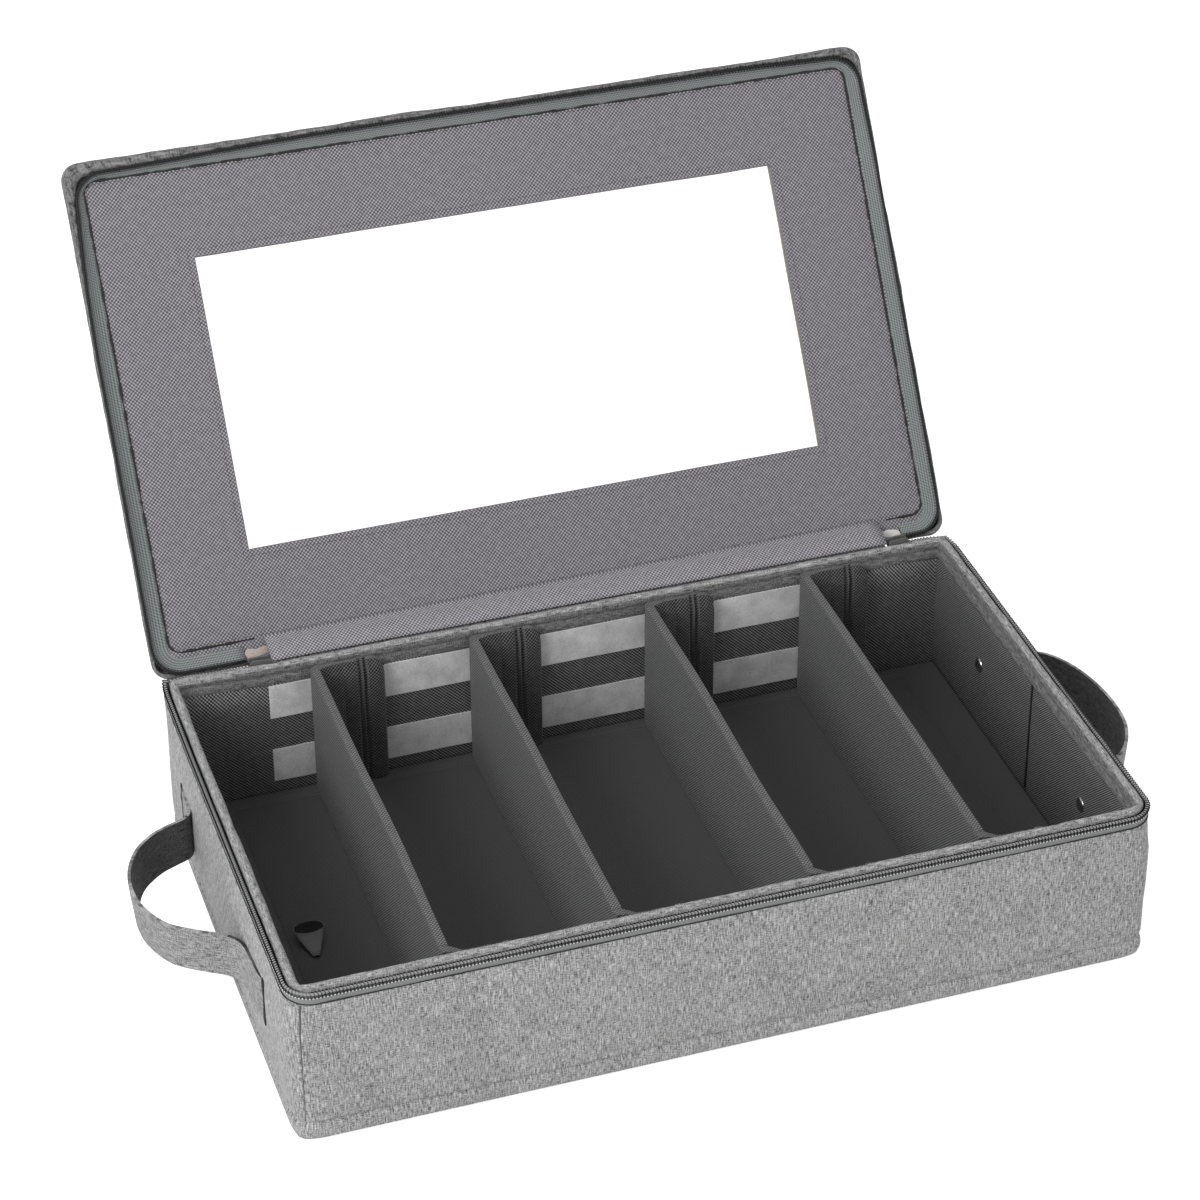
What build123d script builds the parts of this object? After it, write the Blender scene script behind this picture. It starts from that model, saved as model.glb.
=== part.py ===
from build123d import *
from math import cos, radians, sin
import os

os.makedirs("parts", exist_ok=True)

# ---------------------------------------------------------------------------
# Soft-sided silverware chest: a low fabric case with board-stiffened walls,
# four movable dividers and a zip-round lid with a clear window.
# Frame: origin at the centre of the base, X along the length, Y from front
# to back, Z up.  The lid stands open.  Millimetres and degrees.
# "Inset" is always measured inwards from the outside face of the case.
# ---------------------------------------------------------------------------

# Case
case_length = 400.0
case_depth = 242.0
rim_height = 83.0
case_corner_radius = 13.0
board_corner_radius = 3.0
core_corner_radius = 2.0
sewing_gap = 0.2            # air between two sewn layers

# Fabrics and boards
cover_thickness = 1.2
fabric_thickness = 0.9      # lining, binding and sleeve fabric
wall_board_inset = 4.1
wall_board_thickness = 2.0
base_stiffener_thickness = 3.0
crease_width = 3.0          # gap between the two halves of an end wall board

# Rim
binding_inset = 3.0
binding_depth = 11.0        # how far the binding reaches down the wall
binding_edge_bevel = 0.5

# Zip
zip_plane_height = 81.8     # where the two coils meet when the lid is shut
coil_height = 1.5
coil_width = 1.8
coil_proud = 0.2            # the coil stands this far outside the case
coil_half_gap = 0.2
tape_thickness = 0.8
tape_inset = 0.4
case_tape_height = 4.3
lid_flange_width = 6.0      # flat part of the lid tape, sewn to the lid lining
left_zip_margin = 43.0      # from each end of the case to the end of the zip, on the back
right_zip_margin = 22.0
zip_tab_length = 12.0

# Hinge
hinge_offset = 2.5          # hinge line behind the back face of the case
hinge_height = 81.2
lid_open_angle = 124.0
hinge_lap = 8.0             # how far the hinge lining laps onto the lid lining
seat_gap = 0.3              # air between pieces that move against each other

# Lid
lid_overhang = 1.0
lid_corner_radius = 9.0
lid_top_height = 92.0
lid_skirt_bottom = 85.2
lid_board_thickness = 1.8
film_thickness = 0.4
film_lap = 10.0
window_length = 291.0
window_depth = 141.0

# Removable base board
base_board_clearance = 0.6
base_core_thickness = 3.3
base_sleeve_thickness = 1.0
sleeve_mouth_depth = 36.0
sleeve_mouth_margin = 20.0
pull_tab_length = 18.0
pull_tab_root_width = 5.0
pull_tab_tip_width = 13.0
pull_tab_thickness = 1.6
pull_tab_from_wall = 29.8   # from the left wall to the middle of the tab
pull_tab_root_y = -15.0

# Dividers
divider_spacing = (64.4, 78.2, 88.7, 80.6)     # from the left wall to the first divider, then on
divider_board_thickness = 2.4
divider_top = 81.5
slot_play = 0.1             # air around a board inside its sleeve
flap_length = 34.0
flap_board_length = 20.0
flap_thickness = 4.2
fold_radius = 2.0
flap_end_radius = 1.6
hem_groove_from_end = 10.0
hem_groove_width = 1.2
hem_groove_depth = 0.5

# Hook-and-loop fastening
strip_thickness = 0.8
loop_strip_end_gap = 42.8   # bare lining between each end of a loop strip and the end wall
loop_strip_height = 18.5
hook_strip_length = 26.0
hook_strip_height = 16.0
upper_strip_height = 63.3   # centre heights above the ground
lower_strip_height = 26.3

# Carrying straps
strap_width = 22.0
strap_thickness = 1.4
strap_height = 43.5
strap_droop = 8.5           # degrees below level
slit_position = 77.0
slit_length = 25.0
slit_play = 0.4
strap_foot_position = 48.0
strap_reach = 40.0
strap_bend_radius = 30.0
strap_root_reach = 14.0
tail_length = 28.0
rivet_from_slit = 17.5
rivet_cap_radius = 4.0
rivet_cap_height = 1.5
rivet_cap_edge = 0.6
rivet_cap_bevel = 1.6
rivet_shank_radius = 1.5
rivet_washer_radius = 5.0
rivet_washer_thickness = 0.5

# Zip sliders
slider_length = 10.0
slider_mouth_width = 6.0
slider_tail_width = 5.0
slider_corner_bevel = 0.8
slider_plate_thickness = 0.9
slider_play = 0.2
slider_lip_height = 0.9
slider_lip_depth = 0.4
slider_threaded = 2.0       # length of coil inside a parked slider
wedge_length = 3.5
wedge_width = 0.8
wedge_from_mouth = 2.6
bail_foot_length = 1.0
bail_spacing = 5.6
bail_foot_height = 1.8
bail_bar_radius = 0.42
pull_knuckle_radius = 0.95
pull_knuckle_bore = 0.48
pull_knuckle_length = 3.6
pull_length = 21.0
pull_width = 5.6
pull_thickness = 0.9
pull_corner_radius = 2.0
pull_slot_width = 2.4
pull_slot_length = 8.0

# ---------------------------------------------------------------------------
# Places worked out from the sizes above
# ---------------------------------------------------------------------------
half_length = case_length / 2
half_depth = case_depth / 2
wall_board_end_x = half_length - case_corner_radius
wall_board_end_y = half_depth - case_corner_radius

lining_inset = wall_board_inset + wall_board_thickness + sewing_gap
wall_thickness = lining_inset + fabric_thickness
inner_half_length = half_length - wall_thickness
inner_half_depth = half_depth - wall_thickness

stiffener_bottom = cover_thickness + sewing_gap
wall_bottom = stiffener_bottom + base_stiffener_thickness + sewing_gap
left_zip_end = half_length - left_zip_margin
right_zip_end = half_length - right_zip_margin
loop_strip_length = 2 * (inner_half_length - loop_strip_end_gap)
pull_tab_x = -inner_half_length + pull_tab_from_wall
rivet_position = slit_position - rivet_from_slit

base_board_bottom = wall_bottom + fabric_thickness + sewing_gap
base_board_top = base_board_bottom + base_core_thickness + 2 * base_sleeve_thickness + 2 * slot_play
board_top = rim_height - fabric_thickness - sewing_gap
binding_bottom = rim_height - binding_depth

case_coil_top = zip_plane_height - coil_half_gap
case_tape_top = case_coil_top - coil_height
case_tape_bottom = case_tape_top - case_tape_height
cover_top = case_tape_bottom - sewing_gap
lid_coil_bottom = zip_plane_height + coil_half_gap
lid_tape_bottom = lid_coil_bottom + coil_height

lid_board_top = lid_top_height - cover_thickness - sewing_gap
lid_board_bottom = lid_board_top - lid_board_thickness
film_bottom = lid_board_bottom - sewing_gap - film_thickness
lid_lining_top = film_bottom - sewing_gap
lid_lining_bottom = lid_lining_top - fabric_thickness
lid_flange_top = lid_lining_bottom - sewing_gap
lid_flange_bottom = lid_flange_top - tape_thickness
lid_lining_inset = tape_inset + tape_thickness + 2 * sewing_gap

hinge_y = half_depth + hinge_offset
hinge_end_gap = zip_tab_length + 3 * sewing_gap
hinge_start_x = -left_zip_end + hinge_end_gap
hinge_end_x = right_zip_end - hinge_end_gap
hinge_length = hinge_end_x - hinge_start_x
hinge_middle_x = (hinge_start_x + hinge_end_x) / 2

# The lid is drawn as if shut, on a plane that turns with it about the hinge.
lid_plane = Plane(
    origin=(0, hinge_y, hinge_height),
    x_dir=(1, 0, 0),
    z_dir=(0, sin(radians(lid_open_angle)), cos(radians(lid_open_angle))),
)


def lid_level(height):
    """Level of the lid at a height above the ground when it is shut."""
    return lid_plane.offset(height - hinge_height)


def from_lid(y, z):
    """Side-view place of a point of the shut lid, once the lid stands open."""
    turn = radians(lid_open_angle)
    away = y - hinge_y
    up = z - hinge_height
    return (
        hinge_y + away * cos(turn) + up * sin(turn),
        hinge_height - away * sin(turn) + up * cos(turn),
    )


def footprint(inset, corner=None):
    """Length, depth and corner radius of the case outline, moved inwards."""
    radius = case_corner_radius - inset if corner is None else corner
    return case_length - 2 * inset, case_depth - 2 * inset, radius


def panel(inset):
    """Length and depth of the square-cornered lining, moved inwards from the outside face."""
    return case_length - 2 * inset, case_depth - 2 * inset


def lid_footprint(inset, corner=None):
    """Outline of the lid, moved inwards from its own outside face."""
    radius = lid_corner_radius - inset if corner is None else corner
    return footprint(inset - lid_overhang, radius)


def save(builder, name):
    """Label a finished piece and write it to its own file."""
    builder.part.label = name
    export_step(builder.part, f"parts/{name}.step")


# ---------------------------------------------------------------------------
# Case: cover, stiffening boards, lining and rim
# ---------------------------------------------------------------------------
slit_y = slit_position + strap_thickness / 2

with BuildPart() as outer_cover:
    with BuildSketch():
        RectangleRounded(*footprint(0))
        RectangleRounded(*footprint(cover_thickness), mode=Mode.SUBTRACT)
    extrude(amount=cover_top)
    # The back of the cover runs up to the hinge between the two zip ends.
    with BuildSketch(Plane.XY.offset(cover_top)):
        with Locations((hinge_middle_x, half_depth)):
            Rectangle(hinge_length, cover_thickness, align=(Align.CENTER, Align.MAX))
    extrude(amount=case_coil_top - cover_top)
    # Slits for the ends of the carrying straps.
    with Locations(
        *[
            (side * half_length, end * slit_y, strap_height)
            for side in (-1, 1)
            for end in (-1, 1)
        ]
    ):
        Box(3 * cover_thickness, strap_thickness + 2 * slit_play, slit_length, mode=Mode.SUBTRACT)
save(outer_cover, "outer_cover")

with BuildPart() as cover_bottom:
    with BuildSketch():
        RectangleRounded(*footprint(cover_thickness + sewing_gap))
    extrude(amount=cover_thickness)
save(cover_bottom, "cover_bottom")

with BuildPart() as base_stiffener:
    with BuildSketch(Plane.XY.offset(stiffener_bottom)):
        RectangleRounded(*footprint(cover_thickness + sewing_gap))
    extrude(amount=base_stiffener_thickness)
save(base_stiffener, "base_stiffener")


def long_wall_board(name, side):
    """Stiff board inside the front (-1) or back (1) wall."""
    with BuildPart() as board:
        with BuildSketch(Plane.XY.offset(wall_bottom)):
            with Locations((0, side * (half_depth - wall_board_inset - wall_board_thickness / 2))):
                Rectangle(2 * wall_board_end_x, wall_board_thickness)
        extrude(amount=board_top - wall_bottom)
    save(board, name)


def end_wall_board(name, side, half):
    """Front (-1) or rear (1) half of an end wall board; the case folds at the crease between them."""
    length = wall_board_end_y - crease_width / 2
    with BuildPart() as board:
        with BuildSketch(Plane.XY.offset(wall_bottom)):
            with Locations(
                (
                    side * (half_length - wall_board_inset - wall_board_thickness / 2),
                    half * (crease_width + length) / 2,
                )
            ):
                Rectangle(wall_board_thickness, length)
        extrude(amount=board_top - wall_bottom)
        with Locations((side * half_length, half * rivet_position, strap_height)):
            Cylinder(
                rivet_shank_radius + slot_play,
                4 * wall_thickness,
                rotation=(0, 90, 0),
                mode=Mode.SUBTRACT,
            )
    save(board, name)


long_wall_board("front_wall_board", -1)
long_wall_board("back_wall_board", 1)
for side_name, side in (("left", -1), ("right", 1)):
    for half_name, half in (("front", -1), ("rear", 1)):
        end_wall_board(f"{side_name}_end_board_{half_name}", side, half)

with BuildPart() as wall_lining:
    with BuildSketch(Plane.XY.offset(wall_bottom)):
        Rectangle(*panel(lining_inset))
        Rectangle(*panel(wall_thickness), mode=Mode.SUBTRACT)
    extrude(amount=binding_bottom - sewing_gap - wall_bottom)
    with Locations(
        *[
            (side * half_length, half * rivet_position, strap_height)
            for side in (-1, 1)
            for half in (-1, 1)
        ]
    ):
        Cylinder(
            rivet_shank_radius + slot_play,
            4 * wall_thickness,
            rotation=(0, 90, 0),
            mode=Mode.SUBTRACT,
        )
save(wall_lining, "wall_lining")

with BuildPart() as floor_lining:
    with BuildSketch(Plane.XY.offset(wall_bottom)):
        RectangleRounded(*footprint(wall_thickness + sewing_gap, board_corner_radius))
    extrude(amount=fabric_thickness)
save(floor_lining, "floor_lining")

with BuildPart() as rim_binding:
    with BuildSketch(Plane.XY.offset(binding_bottom)):
        RectangleRounded(*footprint(binding_inset))
        Rectangle(*panel(wall_thickness), mode=Mode.SUBTRACT)
    extrude(amount=binding_depth)
    chamfer(rim_binding.faces().sort_by(Axis.Z)[-1].edges(), binding_edge_bevel)
    # Hollow between the two legs, where the boards stand.
    with BuildSketch(Plane.XY.offset(binding_bottom)):
        RectangleRounded(*footprint(binding_inset + fabric_thickness))
        Rectangle(*panel(lining_inset), mode=Mode.SUBTRACT)
    extrude(amount=binding_depth - fabric_thickness, mode=Mode.SUBTRACT)
save(rim_binding, "rim_binding")

# ---------------------------------------------------------------------------
# Removable base board in its fabric sleeve, with a pull tab
# ---------------------------------------------------------------------------
base_inset = wall_thickness + base_board_clearance
base_core_inset = base_inset + base_sleeve_thickness + slot_play
base_core_bottom = base_board_bottom + base_sleeve_thickness + slot_play

with BuildPart() as base_board_sleeve:
    with BuildSketch(Plane.XY.offset(base_board_bottom)):
        RectangleRounded(*footprint(base_inset, board_corner_radius))
    extrude(amount=base_board_top - base_board_bottom)
    with BuildSketch(Plane.XY.offset(base_board_bottom + base_sleeve_thickness)):
        RectangleRounded(*footprint(base_inset + base_sleeve_thickness, core_corner_radius))
    extrude(amount=base_core_thickness + 2 * slot_play, mode=Mode.SUBTRACT)
    # Mouth in the underside, where the board is slipped in.
    with BuildSketch(Plane.XY.offset(base_board_bottom)):
        Rectangle(2 * (inner_half_length - sleeve_mouth_margin), sleeve_mouth_depth)
    extrude(amount=base_sleeve_thickness, mode=Mode.SUBTRACT)
save(base_board_sleeve, "base_board_sleeve")

with BuildPart() as base_board_core:
    with BuildSketch(Plane.XY.offset(base_core_bottom)):
        RectangleRounded(*footprint(base_core_inset, core_corner_radius))
    extrude(amount=base_core_thickness)
save(base_board_core, "base_board_core")

with BuildPart() as base_pull_tab:
    with BuildSketch(Plane.XY.offset(base_board_top + seat_gap)):
        with BuildLine():
            Polyline(
                (pull_tab_x - pull_tab_root_width / 2, pull_tab_root_y),
                (pull_tab_x + pull_tab_root_width / 2, pull_tab_root_y),
                (pull_tab_x + pull_tab_tip_width / 2, pull_tab_root_y + pull_tab_length),
                (pull_tab_x - pull_tab_tip_width / 2, pull_tab_root_y + pull_tab_length),
                close=True,
            )
        make_face()
    extrude(amount=pull_tab_thickness)
save(base_pull_tab, "base_pull_tab")

# ---------------------------------------------------------------------------
# Hook-and-loop strips on the long walls
# ---------------------------------------------------------------------------
strip_heights = {"upper": upper_strip_height, "lower": lower_strip_height}


def loop_strip(name, side, height):
    """Loop strip along the inside of the front (-1) or back (1) wall."""
    with BuildPart() as strip:
        with Locations((0, side * (inner_half_depth - strip_thickness / 2), height)):
            Box(loop_strip_length, strip_thickness, loop_strip_height)
    save(strip, name)


for side_name, side in (("front", -1), ("back", 1)):
    for row_name, row_height in strip_heights.items():
        loop_strip(f"{side_name}_{row_name}_loop_strip", side, row_height)

# ---------------------------------------------------------------------------
# Dividers: a folded fabric sleeve with a web and two flaps, the boards
# slipped into it from below, and hook strips on the outside of the flaps
# ---------------------------------------------------------------------------
flap_face = inner_half_depth - 2 * strip_thickness - seat_gap
sleeve_slot = divider_board_thickness + 2 * slot_play
web_thickness = sleeve_slot + 2 * fabric_thickness
flap_slot = flap_thickness - 2 * fabric_thickness
divider_bottom = base_board_top + seat_gap
divider_height = divider_top - divider_bottom
slot_height = divider_height - fabric_thickness
web_half_depth = flap_face - flap_thickness
flap_middle = flap_face - flap_thickness / 2


def divider_sleeve(name, x):
    """Fabric sleeve: the web across the case and a flap at each end, folded to the right."""
    with BuildPart() as sleeve:
        with BuildSketch(Plane.XY.offset(divider_bottom)) as outline:
            with Locations((x, 0)):
                Rectangle(web_thickness, 2 * flap_face)
            with Locations((x - web_thickness / 2, flap_middle), (x - web_thickness / 2, -flap_middle)):
                Rectangle(
                    flap_length + web_thickness / 2, flap_thickness, align=(Align.MIN, Align.CENTER)
                )
            fillet(outline.vertices().group_by(Axis.X)[0], fold_radius)
            fillet(outline.vertices().group_by(Axis.X)[-1], flap_end_radius)
            # Stitched groove where the board in the flap ends.
            with Locations(
                (x + flap_length - hem_groove_from_end, web_half_depth),
                (x + flap_length - hem_groove_from_end, -web_half_depth),
            ):
                Rectangle(hem_groove_width, 2 * hem_groove_depth, mode=Mode.SUBTRACT)
        extrude(amount=divider_height)
        # Pockets for the three boards, open below.
        with BuildSketch(Plane.XY.offset(divider_bottom)):
            with Locations((x, 0)):
                Rectangle(sleeve_slot, 2 * web_half_depth - 2 * slot_play)
            with Locations((x + web_thickness, flap_middle), (x + web_thickness, -flap_middle)):
                Rectangle(
                    flap_board_length + 2 * slot_play, flap_slot, align=(Align.MIN, Align.CENTER)
                )
        extrude(amount=slot_height, mode=Mode.SUBTRACT)
    save(sleeve, name)


def divider_boards(name, x):
    """The stiff boards inside one divider: one in the web and one in each flap."""
    with BuildPart() as boards:
        with BuildSketch(Plane.XY.offset(divider_bottom)):
            with Locations((x, 0)):
                Rectangle(divider_board_thickness, 2 * web_half_depth - 4 * slot_play)
            with Locations(
                (x + web_thickness + slot_play, flap_middle),
                (x + web_thickness + slot_play, -flap_middle),
            ):
                Rectangle(
                    flap_board_length, flap_slot - 2 * slot_play, align=(Align.MIN, Align.CENTER)
                )
        extrude(amount=slot_height - slot_play)
    save(boards, name)


def divider_hooks(name, x):
    """Hook strips on the outside of both flaps, level with the loop strips."""
    middle = x + (flap_length - web_thickness / 2) / 2
    with BuildPart() as hooks:
        with Locations(
            *[
                (middle, side * (flap_face + strip_thickness / 2), row_height)
                for side in (-1, 1)
                for row_height in strip_heights.values()
            ]
        ):
            Box(hook_strip_length, strip_thickness, hook_strip_height)
    save(hooks, name)


for number in range(1, len(divider_spacing) + 1):
    position = -inner_half_length + sum(divider_spacing[:number])
    divider_sleeve(f"divider_{number}_sleeve", position)
    divider_boards(f"divider_{number}_boards", position)
    divider_hooks(f"divider_{number}_hook_strips", position)

# ---------------------------------------------------------------------------
# Carrying straps, one at each end
# ---------------------------------------------------------------------------
strap_outside = sewing_gap                       # air between strap and cover
tail_inset = cover_thickness + 2 * sewing_gap + rivet_washer_thickness


def strap_plane(side):
    """Plane of a strap loop: level with the slits and drooping outwards; X points away from the case."""
    droop = radians(strap_droop)
    return Plane(
        origin=(side * half_length, 0, strap_height),
        x_dir=(side * cos(droop), 0, -sin(droop)),
        z_dir=(side * sin(droop), 0, cos(droop)),
    )


def strap_loop_sketch(plane, side, nearest, farthest):
    """Plan of the strap loop between two distances from the case."""
    with BuildSketch(plane) as plan:
        with BuildLine():
            FilletPolyline(
                (0, -strap_foot_position),
                (strap_reach, -strap_foot_position + strap_bend_radius / 2),
                (strap_reach, strap_foot_position - strap_bend_radius / 2),
                (0, strap_foot_position),
                radius=strap_bend_radius,
            )
            Line((0, strap_foot_position), (0, -strap_foot_position))
        make_face()
        offset(amount=-strap_thickness, kind=Kind.INTERSECTION, mode=Mode.SUBTRACT)
        with Locations(((nearest + farthest) / 2, 0)):
            Rectangle(farthest - nearest, 2 * case_depth, mode=Mode.INTERSECT)
    return plan


def strap_loop(name, side):
    """The part of the strap that the hand lifts."""
    plane = strap_plane(side)
    plan = strap_loop_sketch(plane, side, strap_root_reach + seat_gap, 2 * strap_reach)
    with BuildPart() as loop:
        add(plan.sketch)
        extrude(amount=strap_width / 2, both=True)
    save(loop, name)


def strap_roots(name, side):
    """The two short stretches that twist between the case and the lifted loop."""
    plane = strap_plane(side)
    near = strap_outside + strap_thickness + sewing_gap
    plan = strap_loop_sketch(plane, side, near, strap_root_reach)
    with BuildPart() as roots:
        add(plan.sketch)
        extrude(amount=strap_width / 2, both=True)
    save(roots, name)


def strap_tails(name, side):
    """Strap ends: flat on the case, through the slit and back between cover and board."""
    outside = half_length + strap_outside + strap_thickness
    inside = half_length - tail_inset - strap_thickness
    with BuildPart() as tails:
        with BuildSketch(Plane.XY.offset(strap_height - strap_width / 2)):
            for end in (-1, 1):
                with BuildLine():
                    Polyline(
                        (side * outside, end * (strap_foot_position - strap_thickness)),
                        (side * outside, end * (slit_position + strap_thickness)),
                        (side * inside, end * (slit_position + strap_thickness)),
                        (side * inside, end * (slit_position - tail_length)),
                        (side * (inside + strap_thickness), end * (slit_position - tail_length)),
                        (side * (inside + strap_thickness), end * slit_position),
                        (side * (outside - strap_thickness), end * slit_position),
                        (
                            side * (outside - strap_thickness),
                            end * (strap_foot_position - strap_thickness),
                        ),
                        close=True,
                    )
                make_face()
        extrude(amount=strap_width)
        with Locations(
            *[(side * inside, end * rivet_position, strap_height) for end in (-1, 1)]
        ):
            Cylinder(
                rivet_shank_radius + slot_play,
                3 * strap_thickness,
                rotation=(0, 90, 0),
                mode=Mode.SUBTRACT,
            )
    save(tails, name)


def rivets(name, side):
    """Domed rivets that hold the strap ends: cap on the lining, shank through board and strap."""
    cap_foot = inner_half_length
    shank_end = half_length - tail_inset
    with BuildPart() as group:
        for end in (-1, 1):
            cap_plane = Plane(
                origin=(side * cap_foot, end * rivet_position, strap_height), z_dir=(-side, 0, 0)
            )
            with BuildSketch(cap_plane):
                Circle(rivet_cap_radius)
            extrude(amount=rivet_cap_height)
            with BuildSketch(cap_plane):
                Circle(rivet_shank_radius)
            extrude(amount=cap_foot - shank_end)
        crowns = group.faces().filter_by(Axis.X).group_by(Axis.X)[0 if side > 0 else -1]
        chamfer(crowns.edges(), rivet_cap_height - rivet_cap_edge, rivet_cap_bevel)
    save(group, name)


def rivet_washers(name, side):
    """Washers under the cover, where the rivet shanks are closed."""
    outer_face = half_length - cover_thickness - sewing_gap
    with BuildPart() as group:
        with Locations(
            *[
                (side * (outer_face - rivet_washer_thickness / 2), end * rivet_position, strap_height)
                for end in (-1, 1)
            ]
        ):
            Cylinder(rivet_washer_radius, rivet_washer_thickness, rotation=(0, 90, 0))
    save(group, name)


for side_name, side in (("left", -1), ("right", 1)):
    strap_loop(f"{side_name}_strap_loop", side)
    strap_roots(f"{side_name}_strap_roots", side)
    strap_tails(f"{side_name}_strap_tails", side)
    rivets(f"{side_name}_rivets", side)
    rivet_washers(f"{side_name}_rivet_washers", side)

# ---------------------------------------------------------------------------
# Zip: the half on the case runs round the front and both ends
# ---------------------------------------------------------------------------
zip_span = left_zip_end + right_zip_end
zip_middle_x = (right_zip_end - left_zip_end) / 2
case_zip_span = zip_span - 2 * (slider_threaded + sewing_gap)

with BuildPart() as case_zip_tape:
    with BuildSketch(Plane.XY.offset(case_tape_bottom)):
        RectangleRounded(*footprint(tape_inset))
        RectangleRounded(*footprint(tape_inset + tape_thickness), mode=Mode.SUBTRACT)
        with Locations((zip_middle_x, half_depth)):
            Rectangle(case_zip_span, case_corner_radius, mode=Mode.SUBTRACT)
    extrude(amount=case_tape_height)
save(case_zip_tape, "case_zip_tape")

with BuildPart() as case_zip_coil:
    with BuildSketch(Plane.XY.offset(case_tape_top)):
        RectangleRounded(*footprint(-coil_proud))
        RectangleRounded(*footprint(coil_width - coil_proud), mode=Mode.SUBTRACT)
        with Locations((zip_middle_x, half_depth)):
            Rectangle(case_zip_span, case_corner_radius, mode=Mode.SUBTRACT)
    extrude(amount=coil_height)
save(case_zip_coil, "case_zip_coil")

# ---------------------------------------------------------------------------
# Lid: cover, frame board, window, lining and its half of the zip
# ---------------------------------------------------------------------------
lid_centre = (0, -hinge_y)
lid_back_edge = (zip_middle_x, half_depth - hinge_y)

with BuildPart() as lid_cover:
    with BuildSketch(lid_level(lid_skirt_bottom)):
        with Locations(lid_centre):
            RectangleRounded(*lid_footprint(0))
    extrude(amount=lid_top_height - lid_skirt_bottom)
    with BuildSketch(lid_level(lid_skirt_bottom)):
        with Locations(lid_centre):
            RectangleRounded(*lid_footprint(cover_thickness))
    extrude(amount=lid_top_height - cover_thickness - lid_skirt_bottom, mode=Mode.SUBTRACT)
    with BuildSketch(lid_level(lid_top_height)):
        with Locations(lid_centre):
            Rectangle(window_length, window_depth)
    extrude(amount=-2 * cover_thickness, mode=Mode.SUBTRACT)
save(lid_cover, "lid_cover")


def lid_frame(name, bottom, thickness, inset, corner):
    """Flat layer of the lid with the window cut out of it."""
    with BuildPart() as frame:
        with BuildSketch(lid_level(bottom)):
            with Locations(lid_centre):
                RectangleRounded(*footprint(inset, corner))
                Rectangle(window_length, window_depth, mode=Mode.SUBTRACT)
        extrude(amount=thickness)
    save(frame, name)


lid_board_inset = cover_thickness + sewing_gap - lid_overhang
lid_frame(
    "lid_board", lid_board_bottom, lid_board_thickness, lid_board_inset, lid_corner_radius - cover_thickness
)
lid_frame("lid_lining", lid_lining_bottom, fabric_thickness, lid_lining_inset, lid_corner_radius)

with BuildPart() as lid_window:
    with BuildSketch(lid_level(film_bottom)):
        with Locations(lid_centre):
            Rectangle(window_length + 2 * film_lap, window_depth + 2 * film_lap)
    extrude(amount=film_thickness)
save(lid_window, "lid_window")

with BuildPart() as lid_zip_tape:
    # Upright leg that carries the coil.
    with BuildSketch(lid_level(lid_tape_bottom)):
        with Locations(lid_centre):
            RectangleRounded(*footprint(tape_inset))
            RectangleRounded(*footprint(tape_inset + tape_thickness), mode=Mode.SUBTRACT)
        with Locations(lid_back_edge):
            Rectangle(zip_span, case_corner_radius, mode=Mode.SUBTRACT)
    extrude(amount=lid_flange_top - lid_tape_bottom)
    # Flat leg that is sewn to the lining.
    with BuildSketch(lid_level(lid_flange_bottom)):
        with Locations(lid_centre):
            RectangleRounded(*footprint(tape_inset))
            RectangleRounded(*footprint(tape_inset + lid_flange_width), mode=Mode.SUBTRACT)
        with Locations(lid_back_edge):
            Rectangle(zip_span, case_corner_radius, mode=Mode.SUBTRACT)
    extrude(amount=tape_thickness)
save(lid_zip_tape, "lid_zip_tape")

with BuildPart() as lid_zip_coil:
    with BuildSketch(lid_level(lid_coil_bottom)):
        with Locations(lid_centre):
            RectangleRounded(*footprint(-coil_proud))
            RectangleRounded(*footprint(coil_width - coil_proud), mode=Mode.SUBTRACT)
        with Locations(lid_back_edge):
            Rectangle(zip_span, case_corner_radius, mode=Mode.SUBTRACT)
    extrude(amount=coil_height)
save(lid_zip_coil, "lid_zip_coil")


def zip_end_tab(name, side, zip_end):
    """Small folded tab that closes one end of the lid's zip tape, flat on the lining."""
    with BuildPart() as tab:
        with BuildSketch(lid_level(lid_flange_bottom)):
            with Locations((side * (zip_end - sewing_gap), half_depth - tape_inset - hinge_y)):
                Rectangle(
                    zip_tab_length,
                    lid_flange_width,
                    align=(Align.MAX if side > 0 else Align.MIN, Align.MAX),
                )
        extrude(amount=tape_thickness)
    save(tab, name)


zip_end_tab("left_zip_end_tab", -1, left_zip_end)
zip_end_tab("right_zip_end_tab", 1, right_zip_end)

# ---------------------------------------------------------------------------
# Hinge: two fabric strips that bend along the back edge
# ---------------------------------------------------------------------------


def hinge_strip(name, start, end, thickness):
    """Strip of fabric between two points of the side view, along the hinge."""
    with BuildPart() as strip:
        with BuildSketch(Plane.YZ.offset(hinge_start_x)) as section:
            with BuildLine() as middle_line:
                Line(start, end)
            trace(middle_line.line, line_width=thickness)
        extrude(section.sketch, amount=hinge_length)
    save(strip, name)


lining_start = (half_depth - binding_inset + seat_gap + fabric_thickness / 2, rim_height)
lining_end = from_lid(
    half_depth - hinge_lap, lid_lining_bottom - seat_gap - fabric_thickness / 2
)
hinge_strip("hinge_lining", lining_start, lining_end, fabric_thickness)

cover_start = (half_depth - cover_thickness / 2, case_coil_top + sewing_gap + cover_thickness / 2)
cover_end = from_lid(
    half_depth + lid_overhang - cover_thickness / 2,
    lid_skirt_bottom - seat_gap - cover_thickness / 2,
)
hinge_strip("hinge_cover", cover_start, cover_end, fabric_thickness)

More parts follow.
